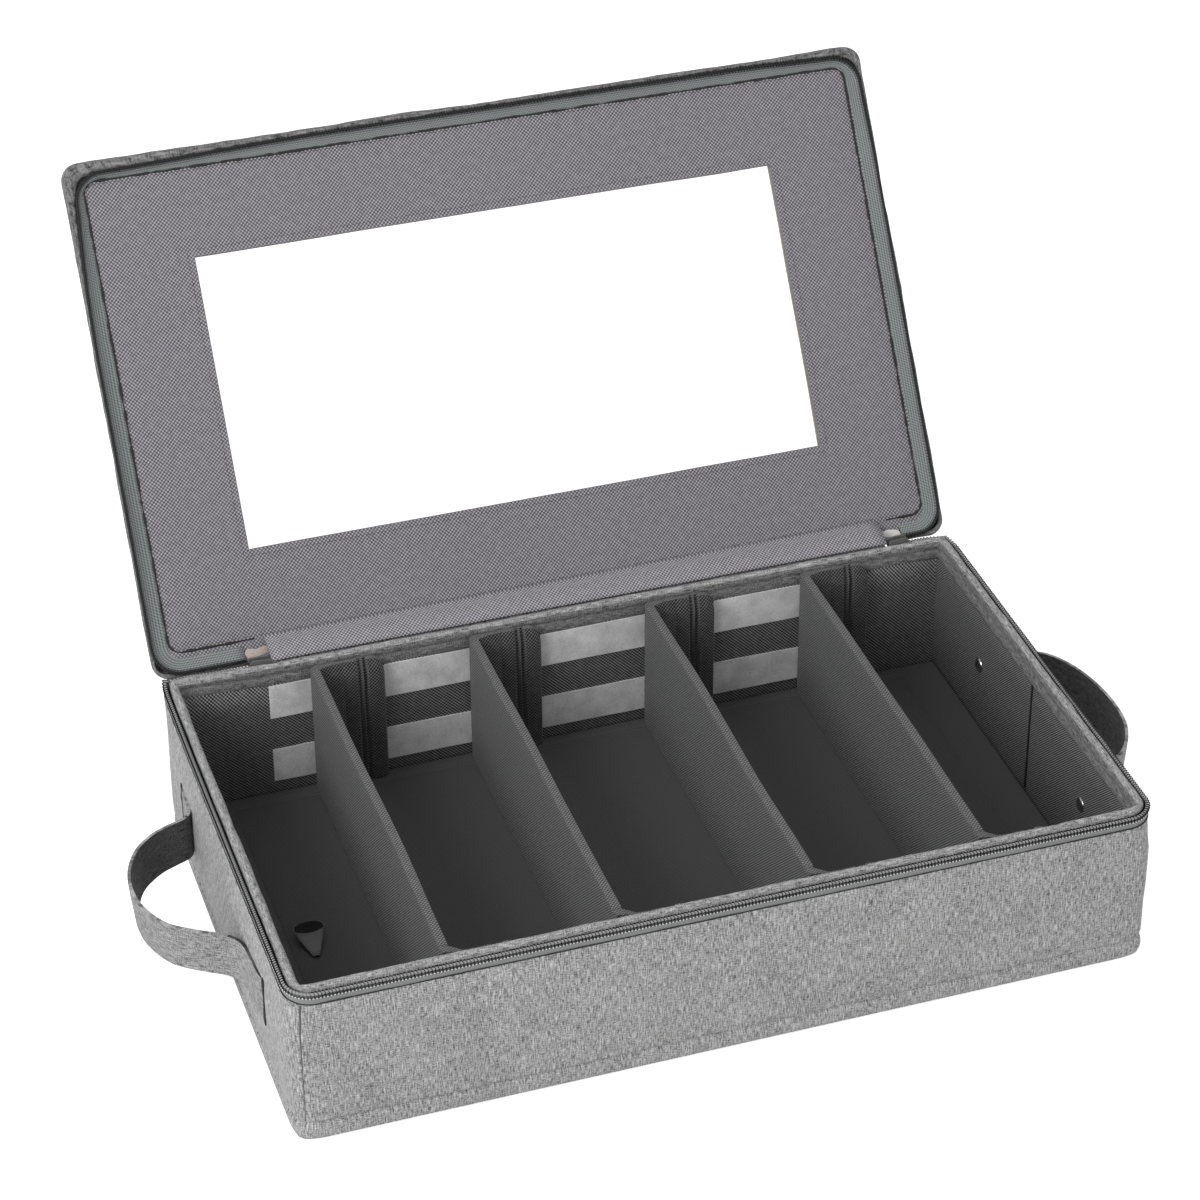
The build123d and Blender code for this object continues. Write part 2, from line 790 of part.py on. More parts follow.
# ---------------------------------------------------------------------------
# Zip sliders: two plates joined by a wedge, with lips that hold the tape,
# a bail on the outside and a pull that hangs from it
# ---------------------------------------------------------------------------
outer_plate_inner_face = half_depth + coil_proud + slider_play
inner_plate_outer_face = half_depth - (coil_width - coil_proud) - slider_play
plate_outside = outer_plate_inner_face + slider_plate_thickness
bail_bar_y = plate_outside + pull_knuckle_radius + slot_play


def slider_profile(x, mouth):
    """Outline of a slider plate, seen from the back of the case, wider at its mouth."""
    with BuildLine() as profile:
        Polyline(
            (x - mouth * slider_length / 2, zip_plane_height - slider_tail_width / 2),
            (x - mouth * slider_length / 2, zip_plane_height + slider_tail_width / 2),
            (x, zip_plane_height + slider_mouth_width / 2),
            (x + mouth * slider_length / 2, zip_plane_height + slider_mouth_width / 2),
            (x + mouth * slider_length / 2, zip_plane_height - slider_mouth_width / 2),
            (x, zip_plane_height - slider_mouth_width / 2),
            close=True,
        )
    return profile.edges()


def back_view(y):
    """Upright plane across the case at a depth, with X to the right and Z up."""
    return Plane(origin=(0, y, 0), x_dir=(1, 0, 0), z_dir=(0, -1, 0))


def zip_slider(name, x, mouth):
    """Slider centred at x; mouth is the direction in which it closes the zip."""
    lip_x = x + mouth * slider_length / 4
    lip_top = zip_plane_height + slider_mouth_width / 2 - slider_lip_height / 2
    lip_low = zip_plane_height - slider_mouth_width / 2 + slider_lip_height / 2
    with BuildPart() as slider:
        with BuildSketch(back_view(outer_plate_inner_face)) as outer_plate:
            make_face(slider_profile(x, mouth))
            chamfer(outer_plate.vertices(), slider_corner_bevel)
        extrude(amount=-slider_plate_thickness)
        with BuildSketch(back_view(inner_plate_outer_face)) as inner_plate:
            make_face(slider_profile(x, mouth))
            chamfer(inner_plate.vertices(), slider_corner_bevel)
        extrude(amount=slider_plate_thickness)
        # Wedge that parts the two coils, standing above the coil of the case.
        with BuildSketch(back_view(inner_plate_outer_face)):
            with Locations(
                (
                    x + mouth * (slider_length / 2 - wedge_from_mouth - wedge_length / 2),
                    zip_plane_height + wedge_width / 2,
                )
            ):
                Rectangle(wedge_length, wedge_width)
        extrude(amount=inner_plate_outer_face - outer_plate_inner_face)
        # Lips on both plates, above and below the coils.
        with Locations(
            (lip_x, outer_plate_inner_face - slider_lip_depth / 2, lip_top),
            (lip_x, outer_plate_inner_face - slider_lip_depth / 2, lip_low),
            (lip_x, inner_plate_outer_face + slider_lip_depth / 2, lip_top),
            (lip_x, inner_plate_outer_face + slider_lip_depth / 2, lip_low),
        ):
            Box(slider_length / 2 - 3 * slider_corner_bevel, slider_lip_depth, slider_lip_height)
        # Bail: two feet and the bar between them.
        with Locations(
            *[
                (x + foot * bail_spacing / 2, (plate_outside + bail_bar_y) / 2, zip_plane_height)
                for foot in (-1, 1)
            ]
        ):
            Box(bail_foot_length, bail_bar_y - plate_outside + 2 * bail_bar_radius, bail_foot_height)
        with Locations((x, bail_bar_y, zip_plane_height)):
            Cylinder(bail_bar_radius, bail_spacing, rotation=(0, 90, 0))
    save(slider, name)


def zip_pull(name, x):
    """Pull that hangs from the bail bar: a knuckle and a slotted tongue."""
    tongue_middle = zip_plane_height - pull_length / 2
    with BuildPart() as pull:
        with BuildSketch(back_view(bail_bar_y - pull_thickness / 2)) as tongue:
            with Locations((x, tongue_middle)):
                RectangleRounded(pull_width, pull_length, pull_corner_radius)
            with Locations((x, zip_plane_height)):
                Rectangle(
                    pull_width,
                    2 * (pull_knuckle_radius + slot_play + bail_foot_height),
                    mode=Mode.SUBTRACT,
                )
            with Locations((x, tongue_middle - pull_knuckle_radius)):
                Rectangle(pull_slot_width, pull_slot_length, mode=Mode.SUBTRACT)
        extrude(amount=-pull_thickness)
        neck_length = 2 * (pull_knuckle_radius + bail_foot_height)
        with Locations((x, bail_bar_y, zip_plane_height - neck_length / 2)):
            Box(pull_knuckle_length, pull_thickness, neck_length)
        with Locations((x, bail_bar_y, zip_plane_height)):
            Cylinder(pull_knuckle_radius, pull_knuckle_length, rotation=(0, 90, 0))
            Cylinder(
                pull_knuckle_bore, 2 * pull_knuckle_length, rotation=(0, 90, 0), mode=Mode.SUBTRACT
            )
    save(pull, name)


for side_name, side, zip_end in (("left", -1, left_zip_end), ("right", 1, right_zip_end)):
    slider_x = side * (zip_end - sewing_gap - slider_length / 2)
    zip_slider(f"{side_name}_zip_slider", slider_x, side)
    zip_pull(f"{side_name}_zip_pull", slider_x)
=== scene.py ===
# %% [markdown]
# # A soft-sided silverware case
# The case is a board box dressed in cloth: a linen-look cover, a folded rim, a dark embossed lining,
# movable dividers and a lid with a clear window and a zip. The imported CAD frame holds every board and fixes
# every size. This lesson dresses it: each cloth piece takes the place of its plain CAD solid and rides on
# the same body, so the lid, dividers, straps and sliders still move.

# %% Load the frame
import math

import bmesh
import bpy
from mathutils import Matrix, Vector, noise
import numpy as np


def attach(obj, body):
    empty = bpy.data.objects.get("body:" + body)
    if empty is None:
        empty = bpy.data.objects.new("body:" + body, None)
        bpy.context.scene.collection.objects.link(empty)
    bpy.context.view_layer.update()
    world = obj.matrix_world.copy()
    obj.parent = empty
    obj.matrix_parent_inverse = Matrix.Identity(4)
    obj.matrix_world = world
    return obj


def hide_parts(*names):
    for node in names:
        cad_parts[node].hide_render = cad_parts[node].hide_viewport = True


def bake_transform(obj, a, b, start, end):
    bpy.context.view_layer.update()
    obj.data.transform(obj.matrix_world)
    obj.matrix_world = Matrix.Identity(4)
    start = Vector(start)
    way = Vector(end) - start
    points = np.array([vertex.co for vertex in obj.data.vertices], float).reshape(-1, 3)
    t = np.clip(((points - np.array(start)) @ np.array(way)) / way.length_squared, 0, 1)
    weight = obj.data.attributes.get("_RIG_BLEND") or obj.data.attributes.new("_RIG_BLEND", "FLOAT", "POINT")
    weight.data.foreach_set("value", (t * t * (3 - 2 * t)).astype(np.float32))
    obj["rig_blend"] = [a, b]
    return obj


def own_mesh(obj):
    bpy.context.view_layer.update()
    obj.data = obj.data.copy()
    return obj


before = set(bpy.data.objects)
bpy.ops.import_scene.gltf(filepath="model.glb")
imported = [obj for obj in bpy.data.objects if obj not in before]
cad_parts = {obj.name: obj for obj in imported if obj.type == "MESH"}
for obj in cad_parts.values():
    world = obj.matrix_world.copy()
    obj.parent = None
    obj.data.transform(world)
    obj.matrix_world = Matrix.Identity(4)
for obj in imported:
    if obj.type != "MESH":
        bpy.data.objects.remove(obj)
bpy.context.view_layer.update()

# %% [markdown]
# ## Sizes
# Everything is worked out in millimetres, because cloth is cut in millimetres, and scaled to metres at the
# end of each piece. An outline is half a length, half a depth and a corner radius. An inset is measured
# inwards from the outside face of the case.

# %% Sizes of the case, in millimetres
MM = 0.001
HALF_X, HALF_Y = 200.0, 121.0
CORNER = 13.0
CASE = (HALF_X, HALF_Y, CORNER)
WALL = 7.2
LINING = (HALF_X - WALL, HALF_Y - WALL, 1.2)
LID = (201.0, 122.0, 8.0)
LID_ZIP = (HALF_X, HALF_Y, 14.0)
HINGE = Vector((0.0, 123.5, 81.2))
LID_ANGLE = 124.0
LID_TURN = Matrix.Rotation(-math.radians(LID_ANGLE), 3, "X")
HINGE_LEFT, HINGE_RIGHT = -146.2, 166.8
ZIP_LEFT, ZIP_RIGHT = -157.0, 178.0
STRAP_HEIGHT = 43.5
DIVIDERS = (-128.4, -50.2, 38.5, 119.1)


def inside(outline, inset):
    """An outline drawn in by an inset."""
    return tuple(size - inset for size in outline)

# %% [markdown]
# ## Colours
# Colours are chosen as screen greys, from 0 to 255, and turned into the linear values that shaders use.

# %% Screen grey to linear colour
def screen(value):
    """A linear RGBA colour from one screen grey, or from a red, green and blue."""
    parts = value if isinstance(value, tuple) else (value, value, value)
    return tuple(pow(part / 255, 2.2) for part in parts) + (1.0,)

# %% [markdown]
# ## Small helpers for shader nodes
# Cloth materials need many small nodes. `add` makes one, sets its values and links its inputs in one
# line, and `maths` is the same for a Math node. `mottle` is a noise, `remap` changes its range, and `swing`
# lets it add and take away equally. They keep the materials below short enough to read.

# %% Node helpers
def add(tree, kind, settings=None, **inputs):
    """One node: settings are its own values, inputs are sockets by name, with spaces written as _."""
    made = tree.nodes.new(kind)
    for name, value in (settings or {}).items():
        setattr(made, name, value)
    for name, value in inputs.items():
        socket = made.inputs[name.replace("_", " ")]
        if isinstance(value, bpy.types.NodeSocket):
            tree.links.new(value, socket)
        else:
            socket.default_value = value
    return made


def maths(tree, operation, first, second=0.0, clamp=False):
    """A Math node, and its result."""
    made = tree.nodes.new("ShaderNodeMath")
    made.operation, made.use_clamp = operation, clamp
    for socket, value in zip(made.inputs, (first, second)):
        if isinstance(value, bpy.types.NodeSocket):
            tree.links.new(value, socket)
        else:
            socket.default_value = value
    return made.outputs[0]


def mottle(tree, place, scale, detail, roughness=0.6):
    """The value of a noise texture."""
    made = add(tree, "ShaderNodeTexNoise", Vector=place, Scale=scale, Detail=detail, Roughness=roughness)
    return made.outputs["Fac"]


def remap(tree, value, low, high, low_out=0.0, high_out=1.0, curve="LINEAR"):
    """A value from low to high turned into one from low_out to high_out, and held there at both ends."""
    made = add(
        tree, "ShaderNodeMapRange", {"interpolation_type": curve}, Value=value,
        From_Min=low, From_Max=high, To_Min=low_out, To_Max=high_out,
    )
    return made.outputs["Result"]


def swing(tree, value, strength):
    """A value round 0.5 turned into one that swings about 0 by a strength."""
    return maths(tree, "MULTIPLY", maths(tree, "SUBTRACT", value, 0.5), strength)

# %% [markdown]
# ## Linen weave
# The cover is a melange cloth: a plain weave whose yarns are dyed unevenly, so single yarns show as short
# light and dark strokes both ways, longer along the warp, with a few pale slubs. The group adds three
# stretched noises, one along each yarn direction and one fine grain, then the slubs and a slow drift of
# tone over the whole cloth. Adding them, rather than multiplying, keeps single yarns readable where they
# cross.

# %% Start and end of a weave group, and stretched noise
def start_weave(name, size, habit, steps=1.0):
    """An empty shader group, and its cloth coordinates scaled so that its size spans so many steps."""
    tree = bpy.data.node_groups.new(name, "ShaderNodeTree")
    tree.interface.new_socket("Vector", in_out="INPUT", socket_type="NodeSocketVector")
    for title in (size, habit):
        tree.interface.new_socket(title, in_out="INPUT", socket_type="NodeSocketFloat")
    for title in ("Tone", "Height"):
        tree.interface.new_socket(title, in_out="OUTPUT", socket_type="NodeSocketFloat")
    source = tree.nodes.new("NodeGroupInput")
    scale = maths(tree, "DIVIDE", steps, source.outputs[size])
    place = source.outputs["Vector"]
    cloth = add(tree, "ShaderNodeVectorMath", {"operation": "SCALE"}, Vector=place, Scale=scale)
    return tree, source.outputs[habit], cloth.outputs[0]


def end_weave(tree, tone, height):
    """Links the results to the group's outputs."""
    sink = tree.nodes.new("NodeGroupOutput")
    tree.links.new(tone, sink.inputs["Tone"])
    tree.links.new(height, sink.inputs["Height"])
    return tree


def stretched(tree, cloth, stretch, scale, detail=1.0):
    """Noise whose grains are drawn out along one yarn direction."""
    run = add(tree, "ShaderNodeVectorMath", {"operation": "MULTIPLY"})
    tree.links.new(cloth, run.inputs[0])
    run.inputs[1].default_value = stretch
    return mottle(tree, run.outputs[0], scale, detail)


# %% Group: woven linen
def linen_group():
    tree, contrast, cloth = start_weave("woven linen", "Yarn", "Contrast")
    warp = stretched(tree, cloth, (1.0, 0.1, 1.0), 0.62)
    weft = stretched(tree, cloth, (0.18, 1.0, 1.0), 0.62)
    grain = stretched(tree, cloth, (1.0, 1.0, 1.0), 0.8, 2.0)
    slub = stretched(tree, cloth, (0.55, 0.045, 1.0), 0.6, 0.0)
    drift = stretched(tree, cloth, (1.0, 0.7, 1.0), 0.011, 3.0)
    sums = 0.5
    for yarns, strength in ((warp, 1.55), (weft, 1.3), (grain, 1.7)):
        sums = maths(tree, "ADD", swing(tree, yarns, strength), sums)
    spread = maths(tree, "ADD", swing(tree, sums, contrast), 0.48)
    pale = remap(tree, slub, 0.6, 0.76, 0.0, 0.24)
    tone = maths(tree, "ADD", maths(tree, "ADD", spread, pale), swing(tree, drift, 0.28), clamp=True)
    return end_weave(tree, tone, sums)


LINEN = linen_group()

# %% [markdown]
# ## Embossed lining
# The lining is a coated polyester with small raised dots on a diagonal lattice. Two waves at right angles,
# both at 45 degrees to the cloth's edge, make the dots. One wave is stronger, so the eye follows the dots
# as lines, as it does on the real cloth.

# %% Group: embossed dots
def emboss_group():
    tree, lean, cloth = start_weave("embossed dots", "Pitch", "Lean", 2 * math.pi)
    axes = add(tree, "ShaderNodeSeparateXYZ", Vector=cloth)
    rising = maths(tree, "COSINE", maths(tree, "ADD", axes.outputs["X"], axes.outputs["Y"]))
    falling = maths(tree, "COSINE", maths(tree, "SUBTRACT", axes.outputs["X"], axes.outputs["Y"]))
    strong = maths(tree, "MULTIPLY", rising, lean)
    weak = maths(tree, "MULTIPLY", falling, maths(tree, "SUBTRACT", 1.0, lean))
    waves = maths(tree, "ADD", strong, weak)
    dot = remap(tree, waves, -0.45, 0.85, curve="SMOOTHSTEP")
    uneven = swing(tree, mottle(tree, cloth, 0.09, 4.0, 0.75), 0.7)
    return end_weave(tree, maths(tree, "ADD", dot, uneven, clamp=True), dot)


EMBOSS = emboss_group()

# %% [markdown]
# ## Ribbed cloths
# The base board, the pull tab and the zip tapes are finer: close ribs crossed by a faint twill. A slow
# noise bends the ribs a little, because a woven rib is never quite straight, and a quick one adds fuzz.

# %% Group: fine ribs
def rib_group():
    tree, twill, cloth = start_weave("fine ribs", "Pitch", "Twill", math.pi)
    axes = add(tree, "ShaderNodeSeparateXYZ", Vector=cloth)
    wander = maths(tree, "MULTIPLY", mottle(tree, cloth, 0.3, 2.0), 0.9)
    bent = maths(tree, "ADD", axes.outputs["Y"], wander)
    rib = maths(tree, "ABSOLUTE", maths(tree, "SINE", bent))
    across = maths(tree, "MULTIPLY", axes.outputs["X"], 1.7)
    slant = maths(tree, "SINE", maths(tree, "ADD", across, axes.outputs["Y"]))
    height = maths(tree, "ADD", rib, maths(tree, "MULTIPLY", maths(tree, "MULTIPLY", slant, 0.5), twill))
    ribbed = maths(tree, "MULTIPLY", height, 0.55)
    fuzzy = maths(tree, "MULTIPLY", mottle(tree, cloth, 0.9, 3.0, 0.7), 0.5)
    return end_weave(tree, maths(tree, "ADD", ribbed, fuzzy, clamp=True), height)


RIBS = rib_group()

# %% [markdown]
# ## Napped cloth
# The loop side of hook-and-loop tape is a brushed nap: long pale fibres swept one way, with thin patches
# where the ground cloth shows. Two noises do it, one fine and drawn out, one broad.

# %% Group: nap
def nap_group():
    tree, thin, cloth = start_weave("brushed nap", "Fibre", "Thin")
    fibres = stretched(tree, cloth, (0.45, 1.0, 1.0), 0.7, 3.0)
    patches = stretched(tree, cloth, (1.0, 1.0, 1.0), 0.035, 3.0)
    both = maths(tree, "ADD", swing(tree, fibres, 1.3), swing(tree, patches, thin))
    return end_weave(tree, maths(tree, "ADD", both, 0.6, clamp=True), fibres)


NAP = nap_group()

# %% [markdown]
# ## Cloth materials
# One function turns a weave group into a material. The tone picks between a dark and a light yarn colour,
# and the height feeds a Bump. The pattern follows the piece's own UV map, which is in metres, so a yarn is
# as wide on a strap as on a wall.

# %% Parts that all materials share
def new_material(name, **values):
    """A material with a Principled surface whose inputs are set by name, with spaces written as _."""
    material = bpy.data.materials.new(name)
    material.use_nodes = True
    surface = material.node_tree.nodes["Principled BSDF"]
    for title, value in values.items():
        surface.inputs[title.replace("_", " ")].default_value = value
    return material, material.node_tree, surface


def tint(tree, surface, factor, dark, light):
    """Colours the surface between two screen values."""
    mix = add(tree, "ShaderNodeMix", {"data_type": "RGBA"}, Factor=factor)
    mix.inputs[6].default_value = screen(dark)
    mix.inputs[7].default_value = screen(light)
    tree.links.new(mix.outputs[2], surface.inputs["Base Color"])


def relief(tree, surface, height, strength, depth):
    """Bumps the surface by a height."""
    bump = add(tree, "ShaderNodeBump", Height=height, Strength=strength, Distance=depth)
    tree.links.new(bump.outputs["Normal"], surface.inputs["Normal"])


# %% Make the cloth materials
def cloth(name, weave, dark, light, size, habit, depth=0.0002, roughness=0.85, sheen=0.1):
    """A cloth woven at a size between two yarn colours. habit is the weave's own last input."""
    finish = {"Roughness": roughness, "Sheen_Weight": sheen, "Specular_IOR_Level": 0.25}
    material, tree, surface = new_material(name, **finish)
    chart = add(tree, "ShaderNodeUVMap", {"uv_map": "cloth"})
    woven = add(tree, "ShaderNodeGroup", {"node_tree": weave}, Vector=chart.outputs["UV"])
    woven.inputs[1].default_value = size
    woven.inputs[2].default_value = habit
    tint(tree, surface, woven.outputs["Tone"], dark, light)
    relief(tree, surface, woven.outputs["Height"], 0.5, depth)
    return material


linen = cloth("linen melange", LINEN, 66, 226, 0.00026, 1.0)
# the rim is the cover's linen with a darker light yarn: painted shade on the rim
rim_linen_painted_shade = cloth("rim linen", LINEN, 66, 218, 0.00026, 1.0)
# a darker copy of the rim linen: painted shade for the rim's inner faces and the lid's edge
rim_inner_painted_shade = cloth("rim linen, painted shade", LINEN, 46, 168, 0.00026, 1.0)
strap_linen = cloth("strap linen", LINEN, 60, 208, 0.00026, 1.0)
# a darker copy of the strap linen: painted shade inside the strap's loop
strap_painted_shade = cloth("strap linen, painted shade", LINEN, 34, 104, 0.00028, 1.2)
back_lining = cloth(
    "dark embossed lining", EMBOSS, (38, 38, 39), (162, 162, 164), 0.00178, 0.4, roughness=0.55
)
# the divider's sleeve cloth made darker for the flaps against the walls: painted shade
flap_painted_shade = cloth(
    "embossed flap cloth, painted shade", EMBOSS, (30, 30, 31), (126, 126, 127), 0.00178, 0.4, roughness=0.6
)
end_lining = cloth("dark end lining", EMBOSS, (48, 48, 49), (138, 138, 139), 0.0014, 0.74, roughness=0.7)
pale_lining = cloth(
    "pale embossed lining", EMBOSS, (96, 94, 99), (186, 183, 190), 0.0019, 0.52, roughness=0.7
)
divider_cloth = cloth(
    "embossed divider cloth", EMBOSS, (66, 66, 67), (140, 140, 141), 0.0015, 0.6, 0.00022, 0.7
)
# a lighter copy of the lid's pale lining: painted light on the hinge strip
hinge_lining = cloth(
    "hinge lining, painted light", EMBOSS, (104, 102, 107), (206, 203, 210), 0.0019, 0.5, roughness=0.6
)
ridge_cloth = cloth("herringbone binding", EMBOSS, 70, 146, 0.0018, 0.5)
board_cloth = cloth("base board cloth", RIBS, (54, 54, 55), (112, 112, 113), 0.0009, 0.9, 0.0001)
tab_cloth = cloth("pull tab tape", RIBS, 84, 158, 0.0009, 0.9, 0.0001)
tape_cloth = cloth("case zip tape", RIBS, (118, 119, 119), (160, 161, 161), 0.0004, 0.3, 0.00005)
lid_tape_cloth = cloth("lid zip tape", RIBS, (64, 68, 68), (164, 170, 170), 0.0012, 0.7, 0.0001)
nap = cloth("loop nap", NAP, 186, 255, 0.0004, 1.5, 0.00018, 0.95, 0.3)
felt = cloth("white felt", NAP, (205, 202, 198), (250, 248, 244), 0.0005, 0.3, 0.00015, 0.95)
raw_edge = cloth("raw tape end", NAP, (168, 152, 146), (222, 208, 202), 0.0005, 0.4, 0.00015, 0.95)
under_cloth = cloth("underside cloth", EMBOSS, (34, 34, 36), (78, 78, 80), 0.0018, 0.5)

# %% [markdown]
# ## Plain materials
# The coil is dark nylon, the sliders and pulls are painted metal, the rivets are plated, the window is a
# thin clear film, and the boards inside are grey board. None of them is one flat colour, so a noise mottles
# each one a little, in colour, in gloss and in height.

# %% Make the plain materials
def plain(name, dark, light, grain, roughness, metallic=0.0):
    """A material whose colour wanders a little between two values, from noise on Object coordinates."""
    material, tree, surface = new_material(name, Metallic=metallic)
    place = add(tree, "ShaderNodeTexCoord").outputs["Object"]
    grains = mottle(tree, place, grain, 4.0)
    tint(tree, surface, grains, dark, light)
    wear = remap(tree, grains, 0.3, 0.7, roughness * 0.8, min(1.0, roughness * 1.2))
    tree.links.new(wear, surface.inputs["Roughness"])
    relief(tree, surface, grains, 0.4, 0.00004)
    return material


coil_nylon = plain("coil nylon", 14, 32, 900, 0.3)
# pale stitch thread, and the case's coil cord, whose pale colour is a painted highlight on the loops
pale_thread_and_painted_highlight = plain("pale thread and coil cord, painted highlight", 150, 196, 1500, 0.8)
thread = plain("pale thread", 200, 240, 1500, 0.8)
# dark thread and cord, and also thin strips of painted shade in creases and along seams
dark_thread_and_painted_shade = plain("dark thread and painted shade", 28, 64, 1500, 0.8)
# grey thread for the lid lining's stitches, and also a strip of painted shade in the corner seam
grey_thread_and_painted_shade = plain("grey thread and painted shade", (84, 82, 86), (120, 118, 122), 1500, 0.8)
# the hook tape's own dark colour, and also painted shade in the strap slits and the pull tab's mouth
hook_tape_and_painted_shade = plain("hook tape and painted shade", 26, 52, 1200, 0.9)
zip_metal = plain("painted zip metal", 92, 122, 600, 0.4)
rivet_metal = plain("nickel plate", 196, 222, 700, 0.2, 1.0)
greyboard = plain("greyboard", (120, 112, 100), (160, 152, 140), 260, 0.9)
hidden_cloth = plain("plain backing cloth", 40, 62, 500, 0.9)

film, tree, surface = new_material("clear film", Roughness=0.06, Alpha=0.05)
place = add(tree, "ShaderNodeTexCoord").outputs["Object"]
tint(tree, surface, mottle(tree, place, 18.0, 2.0, 0.5), (246, 249, 250), 255)
print("materials", len(bpy.data.materials))

# %% [markdown]
# ## The path round the case
# Most cloth pieces here run round a rounded rectangle: the cover, the rim, the zip and the lid's edge. So
# one helper sweeps a cross-section along that path. The section is drawn once on the back wall, then
# extruded step by step along each straight and turned step by step about each corner's centre, the way a
# presser foot follows the edge. While it travels it writes how far it has come into a vertex layer, which
# later becomes the UV map.

# %% The moves along the path
def journey(outline, start_x, end_x):
    """Moves from the back wall at start_x, left, along the front and back to the back wall at end_x."""
    half_x, half_y, radius = outline
    straight_x, straight_y = half_x - radius, half_y - radius
    return [
        ("go", (-1, 0), straight_x + start_x),
        ("turn", (-straight_x, straight_y)),
        ("go", (0, -1), 2 * straight_y),
        ("turn", (-straight_x, -straight_y)),
        ("go", (1, 0), 2 * straight_x),
        ("turn", (straight_x, -straight_y)),
        ("go", (0, 1), 2 * straight_y),
        ("turn", (straight_x, straight_y)),
        ("go", (-1, 0), straight_x - end_x),
    ]


# %% Rows of points, steps and charts
def step_on(bm, edges):
    """Extrudes a row of edges. Gives the new points and the new row."""
    grown = bmesh.ops.extrude_edge_only(bm, edges=edges)["geom"]
    fresh = [item for item in grown if isinstance(item, bmesh.types.BMVert)]
    far = set(fresh)
    row = [item for item in grown if isinstance(item, bmesh.types.BMEdge) and far.issuperset(item.verts)]
    return fresh, row


def first_row(bm, places, layer, closed=False):
    """Points and edges of a section. The layer measures how far each point lies along it."""
    ring = [bm.verts.new(place) for place in places]
    for before, after in zip(ring, ring[1:]):
        after[layer] = before[layer] + (after.co - before.co).length
    pairs = list(zip(ring, ring[1:])) + ([(ring[-1], ring[0])] if closed else [])
    return [bm.edges.new(pair) for pair in pairs]


def chart_from(bm, spot):
    """A UV map in metres, from spot(vert) in millimetres."""
    chart = bm.loops.layers.uv.new("cloth")
    for face in bm.faces:
        for loop in face.loops:
            across, up = spot(loop.vert)
            loop[chart].uv = (across * MM, up * MM)


# %% Sweep a section round the case
def sweep(section, outline, start_x=0.0, end_x=0.0, step=7.0, bends=7, along=False):
    """A bmesh swept from (inset, height) points, welded shut if it ends where it starts.

    along turns the cloth a quarter, so that its warp runs with the path.
    """
    half_y, radius = outline[1:]
    bm = bmesh.new()
    run = bm.verts.layers.float.new("run")
    rise = bm.verts.layers.float.new("rise")
    edges = first_row(bm, [(start_x, half_y - inset, height) for inset, height in section], rise, True)
    for kind, way, *rest in journey(outline, start_x, end_x):
        distance = rest[0] if kind == "go" else radius * math.pi / 2
        count = max(1, round(distance / step)) if kind == "go" else bends
        length = distance / count
        for _ in range(count):
            fresh, edges = step_on(bm, edges)
            if kind == "go":
                bmesh.ops.translate(bm, verts=fresh, vec=Vector((*way, 0)) * length)
            else:
                turn = Matrix.Rotation(math.pi / 2 / count, 3, "Z")
                bmesh.ops.rotate(bm, verts=fresh, cent=(*way, 0), matrix=turn)
            for vert in fresh:
                vert[run] += length
    chart_from(bm, lambda vert: (vert[rise], vert[run]) if along else (vert[run], vert[rise]))
    if start_x == end_x:
        bmesh.ops.remove_doubles(bm, verts=bm.verts, dist=0.001)
    else:
        bmesh.ops.holes_fill(bm, edges=[e for e in bm.edges if e.is_boundary], sides=0)
    return bm


# %% Corners that are squarer, pinched or raised
def square_up(bm, share):
    """Pulls the case's turns towards square corners. share(inset, point) says how far, from 0 to 1."""
    for vert in bm.verts:
        over_x, over_y = abs(vert.co.x) - (HALF_X - CORNER), abs(vert.co.y) - (HALF_Y - CORNER)
        if over_x > 0.001 and over_y > 0.001:
            reach = math.hypot(over_x, over_y)
            grow = (reach / max(over_x, over_y) - 1) * share(CORNER - reach, vert.co)
            vert.co.x += math.copysign(over_x * grow, vert.co.x)
            vert.co.y += math.copysign(over_y * grow, vert.co.y)


def ramp(value, low, high):
    """0 below low, 1 above high, smooth between."""
    share = min(1.0, max(0.0, (value - low) / (high - low)))
    return share * share * (3 - 2 * share)


PINCH = 0.72


def raise_corner(bm):
    """The cloth bunches at the back left corner: what lies near the zip there stands a little higher."""
    for vert in bm.verts:
        near = math.exp(-(((vert.co.x + HALF_X) / 32) ** 2) - ((vert.co.y - HALF_Y) / 40) ** 2)
        vert.co.z += 1.8 * near * ramp(vert.co.z, 55, 73) * (1 - ramp(vert.co.z, 84.5, 87))


def fit_to_rim(bm):
    """What runs along the rim follows its back corners, pinched where the cloth is pulled tight."""
    square_up(bm, lambda inset, co: PINCH if co.y > 0 else 0.0)
    raise_corner(bm)

# %% [markdown]
# ## Charts, softness and finishing
# Pieces that don't run round the case get a box chart: each face takes its UV from the two axes it lies in.
# `soften` moves points along their normals by smooth noise, because no sewn edge is straight. `swell` is
# the gentle outward belly of the four walls, and every piece on the outside uses it, so that straps and
# seams stay on the cloth. `piece` ends every piece in the same way, and `second_cloth` gives some of its
# faces another cloth.

# %% Cuts and box charts
def cut(bm, axis, places, only=None):
    """Slices the mesh across one axis at several places; only picks the faces that are cut."""
    normal = Vector((0, 0, 0))
    normal[axis] = 1
    for place in places:
        at = normal * place
        if only:
            faces = [f for f in bm.faces if only(f.calc_center_median())]
            geom = [*{v for f in faces for v in f.verts}, *{e for f in faces for e in f.edges}, *faces]
        else:
            geom = bm.verts[:] + bm.edges[:] + bm.faces[:]
        bmesh.ops.bisect_plane(bm, geom=geom, plane_co=at, plane_no=normal)


